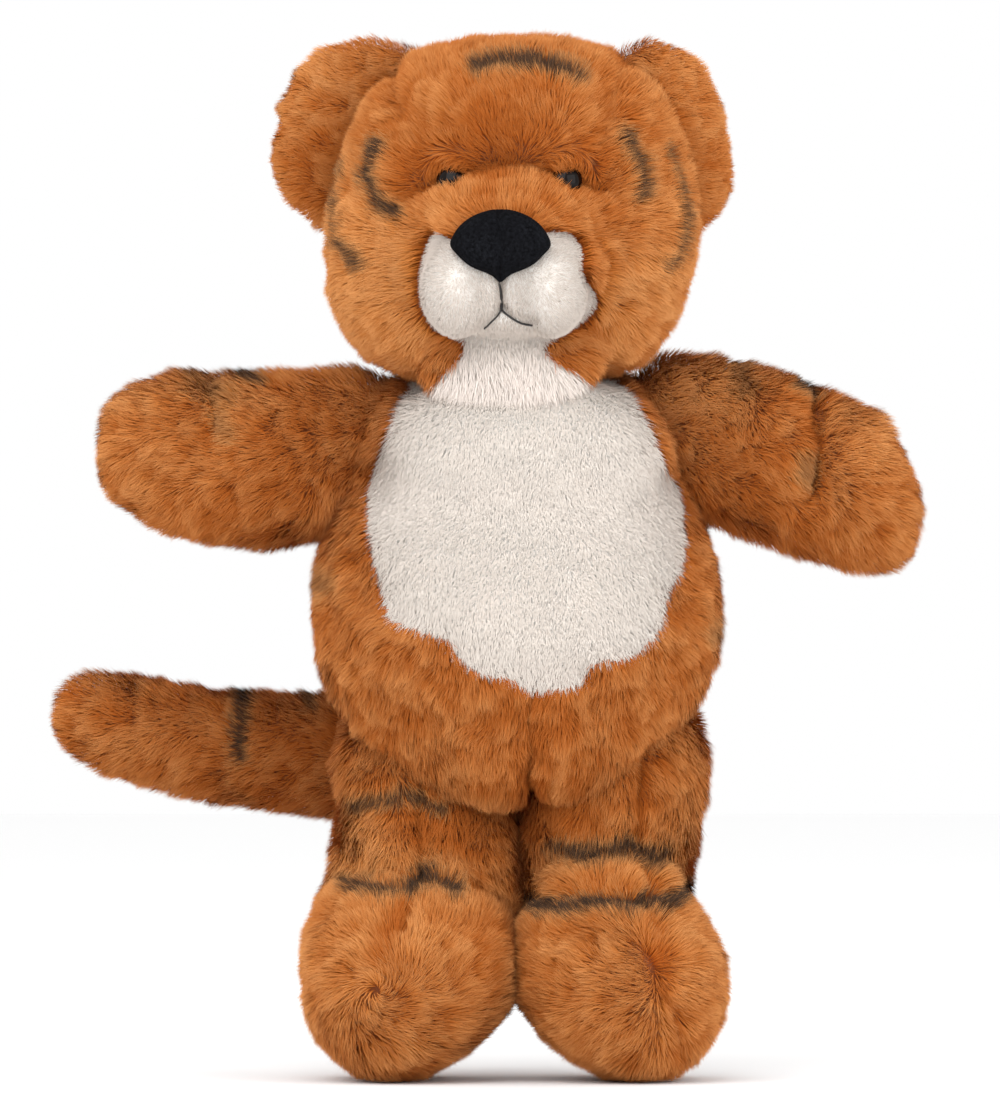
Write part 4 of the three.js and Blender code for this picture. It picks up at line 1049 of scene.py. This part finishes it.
def blend_colors(tree, factor, a, b):
    made = node(tree, "ShaderNodeMix", {0: factor, 6: a, 7: b}, data_type="RGBA")
    return made.outputs[2]


def noise(tree, scale, detail, **more):
    """A grain that sits on the piece."""
    place = node(tree, "ShaderNodeTexCoord").outputs["Object"]
    inputs = {"Vector": place, "Scale": scale, "Detail": detail, **more}
    return node(tree, "ShaderNodeTexNoise", inputs).outputs["Fac"]


def raise_by(tree, shader, height, strength, distance):
    inputs = {"Height": height, "Strength": strength, "Distance": distance * MM}
    tree.links.new(node(tree, "ShaderNodeBump", inputs).outputs["Normal"], shader.inputs["Normal"])


print("helpers", [helper.__name__ for helper in (node, set_inputs, ramp, blend_colors, noise, raise_by)])

# %% [markdown]
# A hair is so thin that light passes round it, so it looks much alike from both sides. The renderer would
# turn the normal round on a back face and leave it black, so it is turned round again there and leant to
# the face's own.

# %% Pile materials
BACK_SHARE = 1.4  # how far the normal leans to the face's own on a back face
COAT_ROWS, DYED_ROWS = (0.0, 0.5), (0.52, 0.88)  # the rows of plain hairs and of dyed ones
SHEEN = 0.02


def even_light(tree):
    """The normal that lights a hair much alike on both of its faces."""
    geometry = node(tree, "ShaderNodeNewGeometry")
    back, turned, true = (geometry.outputs[name] for name in ("Backfacing", "Normal", "True Normal"))
    face = node(tree, "ShaderNodeMapRange", {"Value": back, "To Min": 1.0, "To Max": -1.0})
    share = node(tree, "ShaderNodeMapRange", {"Value": back, "To Min": 0.0, "To Max": BACK_SHARE})
    coat_lit = node(tree, "ShaderNodeVectorMath", {0: turned, 3: face.outputs[0]}, operation="SCALE")
    own = node(tree, "ShaderNodeVectorMath", {0: true, 3: share.outputs[0]}, operation="SCALE")
    lit = node(tree, "ShaderNodeVectorMath", {0: coat_lit.outputs[0], 1: own.outputs[0]}, operation="ADD")
    return lit.outputs[0]


def share_of(tree, value, span):
    """How far a value has come through a span, from 0 to 1."""
    span = {"From Min": span[0], "From Max": span[1]}
    return node(tree, "ShaderNodeMapRange", {"Value": value, **span}).outputs[0]


def pile_material(name, dark_stops, light_stops, stripe_stops, even=True):
    material, tree, shader = new_material(name)
    if even:
        tree.links.new(even_light(tree), shader.inputs["Normal"])
    uv = node(tree, "ShaderNodeUVMap", uv_map="OFBake")
    split = node(tree, "ShaderNodeSeparateXYZ", {0: uv.outputs["UV"]})
    along, row = split.outputs["X"], split.outputs["Y"]
    lightness, dyed = share_of(tree, row, COAT_ROWS), share_of(tree, row, DYED_ROWS)
    coat = blend_colors(tree, lightness, ramp(tree, along, dark_stops), ramp(tree, along, light_stops))
    colour = blend_colors(tree, dyed, coat, ramp(tree, along, stripe_stops))
    tree.links.new(colour, shader.inputs["Base Color"])
    set_inputs(shader, Roughness=0.8, Specular_IOR_Level=0.04, Sheen_Weight=SHEEN, Sheen_Roughness=0.5)
    return material


orange_pile = pile_material(
    "orange pile",
    [(0, (0.28, 0.036, 0.002)), (0.45, (0.36, 0.07, 0.006)), (1, (0.43, 0.108, 0.013))],
    [(0, (0.36, 0.062, 0.006)), (0.45, (0.56, 0.175, 0.031)), (1, (0.71, 0.33, 0.118))],
    [(0, (0.2, 0.04, 0.008)), (0.4, (0.085, 0.04, 0.02)), (1, (0.05, 0.034, 0.024))])
UNDYED = [(place, (0.7, 0.6, 0.5)) for place in (0, 0.5, 1)]
# the white pile is lighter at the root than at the tip: painted light that lifts the shade deep between its
# hairs
white_pile = pile_material(
    "white pile",
    [(0, (0.86, 0.8, 0.74)), (0.5, (0.78, 0.7, 0.63)), (1, (0.73, 0.65, 0.58))],
    [(0, (0.88, 0.83, 0.78)), (0.5, (0.82, 0.75, 0.68)), (1, (0.78, 0.71, 0.64))],
    UNDYED)
# the muzzle's own white, painted lighter at the root as painted light between the hairs; its light stops are
# painted light for the chin in the muzzle's shadow
muzzle_pile = pile_material(
    "muzzle pile",
    [(0, (0.66, 0.59, 0.53)), (0.5, (0.6, 0.53, 0.47)), (1, (0.57, 0.5, 0.44))],
    [(0, (0.87, 0.8, 0.74)), (0.5, (0.85, 0.77, 0.71)), (1, (0.83, 0.74, 0.68))],
    UNDYED, even=False)
print("pile materials", [material.name for material in (orange_pile, white_pile, muzzle_pile)])

# %% [markdown]
# The cloth behind the pile hardly shows, but it fills the gaps between roots, so it has the colour of the
# roots and the fine grain of a knitted backing.

# %% Backing materials


def backing_material(name, color, dark):
    material, tree, shader = new_material(name)
    grain = noise(tree, 900.0, 3.0)
    tree.links.new(blend_colors(tree, grain, (*dark, 1), (*color, 1)), shader.inputs["Base Color"])
    raise_by(tree, shader, grain, 0.5, 0.4)
    set_inputs(shader, Roughness=0.9)
    return material


orange_backing = backing_material("orange backing", (0.3, 0.09, 0.02), (0.17, 0.04, 0.01))
white_backing = backing_material("white backing", (0.97, 0.94, 0.9), (0.93, 0.89, 0.84))
print("backing materials", orange_backing.name, "and", white_backing.name)

# %% [markdown]
# A limb is sewn to the body all round its root. Its pieces keep their place here and ride on no body. The
# head, the ears and the tail turn about a narrow opening inside the pile, where riding on their own body
# looks much the same.


def carry(piece, part):
    kind, _, side_name = part.partition("_")
    if kind == "arm":
        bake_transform(piece)
    elif kind == "leg":
        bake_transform(piece)
    else:
        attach(piece, part)


print("blended", [part for part in backings if part[:3] in ("arm", "leg")])

# %% [markdown]
# Hairs grow part by part. A hair whose root would lie deep in a neighbour hardly ever shows and is left
# out, and the eyes are kept clear. The coat is a little shorter in the drawn-in seams. The muzzle's pile
# is shorn short, the chin's grows long again, and the belly's is a thick short wool with longer hairs
# along its edge below the chin.

# %% Growing the coat
EYE_CLEAR = 2.1 * MM
COVERED = 3 * MM  # a hair whose root is this deep in a neighbour is left out
FULL_PILE, EAR_COAT = 8.2 * MM, 6 * MM  # the lengths of the hairs
LEAN = 0.72  # radians from the normal
BELLY_PILE = 0.42  # the share of the full length that the belly's woolly pile has, away from its edge
BIB_HEIGHT = 228  # millimetres above the floor, where the white of the belly goes in under the chin
SHORT_PILE = 0.28  # the share of the full length that the muzzle's pile has
CHIN_GROWTH = 4.0  # how much longer it grows again under the chin, towards the chest
# the chin's pile is painted paler below its top: painted light that lifts the shadow under the muzzle
CHIN_LONG, CHIN_FLAT, CHIN_PAINTED_LIGHT = 12 * MM, 10 * MM, 8 * MM  # how far below its top it is long, flat and pale
BELLY_EDGE = 4  # millimetres over which the longer hairs of the edge give way
COAT_GRAIN, PALE_GRAIN = 0.11, 0.05  # how much the lightness differs from hair to hair
TONE_MIDDLE, TONE_SPREAD = 0.22, 1.25  # these stretch the tufts' lightness
# painted shade where the strokes draw the cloth in, and painted light where they let it swell
CREASE_PAINTED_SHADE = 0.35  # how much darker the pile is in a drawn-in seam
ROW_FROM, ROW_SPAN = 0.08, 0.42  # the rows that plain hairs use
DYE_FROM, DYE_ROW, DYE_SPAN = 0.05, 0.52, 0.46  # the least dye that counts, and the rows of dyed hairs
FLOOR_CLEAR = 0.3 * MM
coats = []


def near_eyes(points):
    """How far points lie from the nearest eye's stem line, in metres."""
    nearest = np.full(len(points), 1.0)
    for side_name in SIDE:
        offset = points - eye_at[side_name]
        away = offset - np.outer(offset @ eye_way[side_name], eye_way[side_name])
        front = np.linalg.norm(offset, axis=1) < 20 * MM
        nearest = np.where(front, np.minimum(nearest, np.linalg.norm(away, axis=1)), nearest)
    return nearest


def below_chin(points, reach):
    """How far points have come from the chin's top to a reach below it, from 0 to 1."""
    return np.clip((CHIN_TOP - points[:, 2]) / reach, 0, 1)


def grow(part, panels, flow, hidden_by, seed, length=FULL_PILE, lean=LEAN, white="", short="",
         per_mm2=HAIRS_PER_MM2):
    """Grows the pile of a stuffed part, one piece for each sewn panel. One may be white and one short."""
    rng = np.random.default_rng(seed)
    denser = PALE_SHARE if part == "body" else 1
    roots, normals = sample_roots(backings[part], per_mm2 * denser, rng)
    free = np.ones(len(roots), bool)
    thinned = rng.random(len(roots)) * denser < 1
    for name in hidden_by:
        free &= forms[name].depth_inside(roots, PILE) < COVERED
    free &= roots[:, 2] > 0.2 * MM
    if part == "head":
        free &= near_eyes(roots) > EYE_CLEAR
    roots, normals, thinned = roots[free], normals[free], thinned[free]
    pressed = np.clip(drawn_in(part, roots, forward_share(normals)) / 5, -0.5, 1)
    for panel, mask in panels(roots).items():
        kind = "muzzle" if panel == short else "belly" if panel == white else "coat"
        if kind == "coat":
            mask = mask & thinned
        p, n = roots[mask], normals[mask]
        lengths = np.full(len(p), length * (SHORT_PILE if kind == "muzzle" else 1))
        lengths *= 1 - 0.5 * np.clip(pressed[mask], 0, 1)
        if part == "head":
            lengths *= np.clip(0.8 + (near_eyes(p) - EYE_CLEAR) / (8 * MM), 0.8, 1)
        leans = np.full(len(p), lean)
        if kind == "muzzle":
            lengths *= 1 + CHIN_GROWTH * below_chin(p, CHIN_LONG)
            leans += 0.4 * below_chin(p, CHIN_FLAT)
        if kind == "belly":
            seen = from_middle(p)[:, [0, 2]]
            from_edge = distance_to_line(seen, belly_line[belly_line[:, 1] < BIB_HEIGHT])
            lengths *= BELLY_PILE + (1 - BELLY_PILE) * 0.7 * np.exp(-from_edge / BELLY_EDGE)
            leans += 0.15
        strands, lit, tone = hairs(p, n, unit(flow(p, n)), lengths, leans, rng, *PILE_KINDS[kind])
        strands[:, :, 2] = np.maximum(strands[:, :, 2], FLOOR_CLEAR)
        grain = COAT_GRAIN if kind == "coat" else PALE_GRAIN
        tone = (tone - TONE_MIDDLE) * TONE_SPREAD + rng.normal(size=len(p)) * grain
        # painted shade in the drawn-in creases, painted light on the swells, and the patches of painted
        # light and shade
        tone = tone - CREASE_PAINTED_SHADE * pressed[mask] + shade(part, p)
        rows = ROW_FROM + ROW_SPAN * np.clip(tone, 0, 1)
        seen_at = strands[:, 3] * 0.6 + (strands[:, 1] + strands[:, 2]) * 0.2
        dye = stripe_strength(part, seen_at, rng)
        if kind == "muzzle":
            # painted light: the chin's pile is paler below its top, against the muzzle's shadow
            rows = np.clip(0.1 * tone + 0.45 * below_chin(p, CHIN_PAINTED_LIGHT), 0.02, 0.49)
        if kind == "coat":
            rows = np.where(dye > DYE_FROM, DYE_ROW + DYE_SPAN * dye, rows)
        piece = pile_mesh(f"{panel}_pile", strands, lit, rows)
        piece.data.materials.append({"muzzle": muzzle_pile, "belly": white_pile, "coat": orange_pile}[kind])
        carry(piece, part)
        coats.append((piece, panel))


def whole(name):
    return lambda p: {name: np.ones(len(p), bool)}


def halves(first, second, middle, direction):
    """Two panels on either side of a seam: the first on the side that the direction points to."""
    return lambda p: {first: (p - middle) @ direction > 0, second: (p - middle) @ direction <= 0}


print("pile lengths", round(FULL_PILE / MM, 1), "and", round(EAR_COAT / MM, 1), "mm")

# %% [markdown]
# Now all parts get their coat. Each has a seed of its own, so that a change to one part leaves the others
# alone.

# %% The whole coat
LEG_SEAM = 29.5
grow("body", body_panels, body_flow, ("leg_left", "leg_right", "arm_left", "arm_right", "tail", "head"), 1,
     white="belly_panel")
grow("head", head_panels, head_flow, ("body", "yoke", "chest", "ear_left", "ear_right"), 2,
     short="muzzle_skin")
grow("tail", whole("tail_skin"), flow_along(tail_along, 0.2), ("body",), 3)
for number, (side_name, side) in enumerate(SIDE.items()):
    shoulder = joint_at[f"arm_raise_{side_name}"]
    panels = halves(f"arm_front_{side_name}", f"arm_back_{side_name}", shoulder, FORWARD)
    grow(f"arm_{side_name}", panels, flow_along(arm_along[side_name], 0.35), ("body", "yoke"), 10 + number)
    seam = toy(side * LEG_SEAM, 0, 0)
    panels = halves(f"leg_outer_{side_name}", f"leg_inner_{side_name}", seam, np.array([side, 0, 0]))
    grow(f"leg_{side_name}", panels, leg_flow(side_name), ("body",), 20 + number)
    fold = joint_at[f"ear_fold_{side_name}"]
    panels = halves(f"ear_front_{side_name}", f"ear_back_{side_name}", fold, head_place(FORWARD))
    grow(f"ear_{side_name}", panels, flow_along(ear_out[side_name], 0.15), ("head",), 30 + number,
         length=EAR_COAT, lean=LEAN + 0.1, per_mm2=EAR_HAIRS_PER_MM2)
for piece, panel in coats:
    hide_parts(panel)
print("hairs", sum(len(piece.data.polygons) // 2 for piece, _ in coats),
      {panel: len(piece.data.polygons) for piece, panel in coats})

# %% [markdown]
# The nose is a stuffed pad of short black velour with a fold down its middle. It is a form like the
# others, and a dense noise with a bump is enough for a nap of less than half a millimetre.

# %% Nose
NOSE_FOLD, FOLD_WIDTH = 1.3, 1.1  # how deep and how wide the fold is, in millimetres
NOSE_MIDDLE = -1.5
NOSE_ROWS = [
    [0, 0.2, 0.5, 0, 0], [0.085, 0.3, 0.7, 0, 0], [0.205, 0.7, 0.92, 0, 0], [0.375, 0.89, 1, 0, 0],
    [0.5, 1, 1, 0, 0], [0.655, 0.98, 1, 0, 0], [0.9, 0.94, 1, 0, 0], [1, 0.9, 0.9, 0, 0],
]
forms["nose"] = Form(24, 33, 19, NOSE_ROWS, place_along(at_neck((NOSE_MIDDLE, -68, 29.8)), UP, head_across))


def nose_velour():
    material, tree, shader = new_material("nose velour")
    nap = noise(tree, 900.0, 5.0, Roughness=0.7)
    fibres = ramp(tree, nap, [(0.35, (0.001, 0.001, 0.001)), (0.7, (0.016, 0.017, 0.021))])
    tint = blend_colors(tree, noise(tree, 160.0, 2.0), fibres, (0.004, 0.004, 0.005, 1))
    tree.links.new(tint, shader.inputs["Base Color"])
    raise_by(tree, shader, nap, 0.7, 0.35)
    set_inputs(shader, Roughness=0.9, Specular_IOR_Level=0.02)
    return material


nose = unit_ball(segments=96, rings=64)
nose.name = nose.data.name = "nose_pad"
set_coordinates(nose, forms["nose"].mapped(coordinates(nose), 0))
points, normals = coordinates(nose), vertex_normals(nose)
from_fold = (straight_head(points)[:, 0] - NOSE_MIDDLE) / FOLD_WIDTH
fold = NOSE_FOLD * np.exp(-(from_fold**2)) * forward_share(normals)
set_coordinates(nose, points - normals * (fold * MM)[:, None])
bpy.ops.object.shade_smooth()
nose.data.materials.append(nose_velour())
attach(nose, "head")
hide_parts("nose")
print("nose", (np.ptp(coordinates(nose), axis=0) / MM).round(1), "mm")

# %% [markdown]
# The mouth is one thick thread, sewn down the parting of the lips and out to both sides. A curve with a
# round bevel is a thread already, so it only has to be laid on the face: a ray from the front finds the
# cloth at each point.

# %% Mouth
THREAD_OUT = 1.6  # millimetres, as the thread lies on the short pile
MOUTH = [
    [(-1.5, 31), (-1.6, 26), (-1.5, 20.4)], [(-1.5, 20.6), (-4, 18.4), (-6.5, 16.6), (-8, 16)],
    [(-1.5, 20.6), (2, 18.8), (5.5, 17.5), (9.5, 16.6)],
]
THREAD_RADIUS = [0.42, 0.28, 0.36]
face = bmesh.new()
face.from_mesh(backings["head"].data)
face_tree = BVHTree.FromBMesh(face)
face.free()
look = Vector(head_place((0, 1, 0)))


def on_face(x, z, out):
    """The point of the face that is seen at a place in the head's front view, and some way out from it."""
    start = Vector(at_neck((x, -150, z)))
    hit, normal, _, _ = face_tree.ray_cast(start, look)
    return hit + normal * out * MM


def thread_between(name, line, radius):
    curve = bpy.data.curves.new(name, "CURVE")
    curve.dimensions = "3D"
    spline = curve.splines.new("NURBS")
    line = np.array(line)
    fine = [a + (b - a) * t for a, b in zip(line[:-1], line[1:]) for t in (0, 0.5)] + [line[-1]]
    spline.points.add(len(fine) - 1)
    for point, (x, z) in zip(spline.points, fine):
        point.co = (*on_face(x, z, THREAD_OUT), 1)
    spline.use_endpoint_u = True
    spline.order_u = 3
    curve.bevel_depth, curve.bevel_resolution, curve.use_fill_caps = radius * MM, 4, True
    select_only(new_piece(name, curve))
    bpy.ops.object.convert(target="MESH")
    return bpy.context.object


def plain_finish(name, color, roughness, scale=700.0):
    """One colour with a faint grain."""
    material, tree, shader = new_material(name)
    dark = tuple(value * 0.7 for value in color)
    tint = blend_colors(tree, noise(tree, scale, 3.0), (*dark, 1), (*color, 1))
    tree.links.new(tint, shader.inputs["Base Color"])
    set_inputs(shader, Roughness=roughness)
    return material, shader


strokes = zip(MOUTH, THREAD_RADIUS)
mouth = joined([thread_between(f"mouth_{i}", *stroke) for i, stroke in enumerate(strokes)], "mouth_thread")
bpy.ops.object.shade_smooth()
thread_material, _ = plain_finish("black thread", (0.02, 0.018, 0.018), 0.7, 1500.0)
mouth.data.materials.append(thread_material)
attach(mouth, "head")
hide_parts("mouth_stitch")
print("mouth", (np.ptp(coordinates(mouth), axis=0) / MM).round(1), "mm")

# %% [markdown]
# A safety eye is a turned dome of dark glossy plastic, a little flatter than a half ball, that is drawn
# down into the pile by its stem. The washer behind the cloth is the CAD's own piece and only gets its
# finish here.

# %% Eyes and washers
EYE_BACK = 1.2  # how deep the dome's underside is
eye_material, eye_shader = plain_finish("eye plastic", (0.006, 0.003, 0.002), 0.05)
set_inputs(eye_shader, Specular_IOR_Level=0.15)
washer_material, _ = plain_finish("washer plastic", (0.8, 0.8, 0.76), 0.5)
for side_name in SIDE:
    eye = unit_ball()
    eye.name = eye.data.name = f"eye_dome_{side_name}"
    ball = coordinates(eye)
    high = np.where(ball[:, 2] > 0, ball[:, 2] * EYE_DOME, ball[:, 2] * EYE_BACK)
    turn = Vector((0, 0, 1)).rotation_difference(Vector(eye_way[side_name])).to_matrix()
    spread = np.stack([ball[:, 0] * EYE_RADIUS, ball[:, 1] * EYE_RADIUS, high], 1) * MM
    seat = eye_at[side_name] + eye_way[side_name] * eye_seat[side_name]
    set_coordinates(eye, spread @ np.array(turn).T + seat)
    bpy.ops.object.shade_smooth()
    eye.data.materials.append(eye_material)
    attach(eye, "head")
    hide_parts(f"eye_{side_name}")
    washer = frame["nodes"][f"eye_washer_{side_name}"]
    washer.data.materials.clear()
    washer.data.materials.append(washer_material)
print("eyes", 2 * EYE_RADIUS, "mm across")

# %% [markdown]
# The backings move with their coats and stand for the cloth and the filling together, so each takes the
# place of the CAD's filling, except in the ears, which hold none. Where the pile is white, so is the
# cloth.

# %% Looks of the backings
for part, backing in backings.items():
    backing.data.materials.append(orange_backing)
    if part in ("body", "head"):
        backing.data.materials.append(white_backing)
        centres = np.zeros(len(backing.data.polygons) * 3)
        backing.data.polygons.foreach_get("center", centres)
        panels = (body_panels if part == "body" else head_panels)(centres.reshape(-1, 3))
        pale = panels["belly_panel" if part == "body" else "muzzle_skin"]
        backing.data.polygons.foreach_set("material_index", pale.astype(np.int32))
    carry(backing, part)
    if not part.startswith("ear"):
        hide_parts(name_of(part, "filling"))
print("fillings dressed", len(backings))

# %% [markdown]
# The head nods and turns about a plug of fibre in the neck's opening. It is a lumpy ball that hardly
# shows: only a sliver at the nape, when the head is nodded forward as far as it goes. It has a body of
# its own, as the nod and the turn are two hinges.

# %% The plug of fibre in the neck
forms["neck"] = ball_form(joint_at["head_turn"], 36, 36, 36)
plug = unit_ball()
plug.name = plug.data.name = "neck_plug"
set_coordinates(plug, forms["neck"].mapped(coordinates(plug), 0))
points, normals = coordinates(plug), vertex_normals(plug)
set_coordinates(plug, points + normals * ((lumps(points, 4 * MM) - 0.5) * 1.2 * MM)[:, None])
bpy.ops.object.shade_smooth()
plug.data.materials.append(white_backing)
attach(plug, "neck")
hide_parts("neck_filling")
print("neck plug", (np.ptp(coordinates(plug), axis=0) / MM).round(1), "mm")

# %% [markdown]
# The photograph was taken in soft light from all round on white, with a faint shadow under the feet. So a
# white world gives most of the light, and two large lamps give the pile its side to the light and its
# side in shade.

# %% Floor and light
bpy.ops.object.select_all(action="DESELECT")
bpy.ops.mesh.primitive_plane_add(size=8, location=(0, 0, 0))
floor = bpy.context.object
floor.name = "floor"
floor_material, _, floor_shader = new_material("pale floor")
set_inputs(floor_shader, Base_Color=(0.96, 0.96, 0.96, 1), Roughness=0.9)
floor.data.materials.append(floor_material)

world = bpy.data.worlds.new("studio")
bpy.context.scene.world = world
world.use_nodes = True
set_inputs(world.node_tree.nodes["Background"], Color=(1, 1, 1, 1), Strength=1.0)
bpy.context.scene.view_settings.view_transform = "Standard"


def soft_light(name, place, target, size, power):
    data = bpy.data.lights.new(name, "AREA")
    data.shape, data.size, data.energy = "SQUARE", size, power
    lamp = new_piece(name, data)
    lamp.location = place
    lamp.rotation_euler = (Vector(target) - Vector(place)).to_track_quat("-Z", "Y").to_euler()


soft_light("key light", (-0.6, -1.35, 1.3), (0, 0, 0.18), 1.7, 22)
soft_light("fill light", (1.1, -1.2, 0.6), (0, 0, 0.18), 1.4, 10)
print("lights", [lamp.name for lamp in bpy.data.lights])

# %% [markdown]
# The camera stands straight in front and far off, as the photograph shows hardly any perspective. The
# photograph is 1000 by 1100 pixels, 3 to a millimetre, and the toy's middle and the floor lie at known
# pixels of it.

# %% Camera
PIXELS_PER_MM = 3
PHOTO_WIDTH, PHOTO_HEIGHT = 1000, 1100
MIDDLE_PIXEL, FLOOR_PIXEL = 517, 1078
CAMERA_DISTANCE = 4.0
VIEW_HEIGHT = PHOTO_HEIGHT / PIXELS_PER_MM * MM
camera_data = bpy.data.cameras.new("camera")
camera = new_piece("camera", camera_data)
bpy.context.scene.camera = camera
view_middle = toy((PHOTO_WIDTH / 2 - MIDDLE_PIXEL) / PIXELS_PER_MM, 0,
                  (FLOOR_PIXEL - PHOTO_HEIGHT / 2) / PIXELS_PER_MM)
camera.location = view_middle + FORWARD * CAMERA_DISTANCE
camera.rotation_euler = (math.pi / 2, 0, 0)
camera_data.lens = camera_data.sensor_width * CAMERA_DISTANCE / VIEW_HEIGHT
print("lens", round(camera_data.lens), "mm")
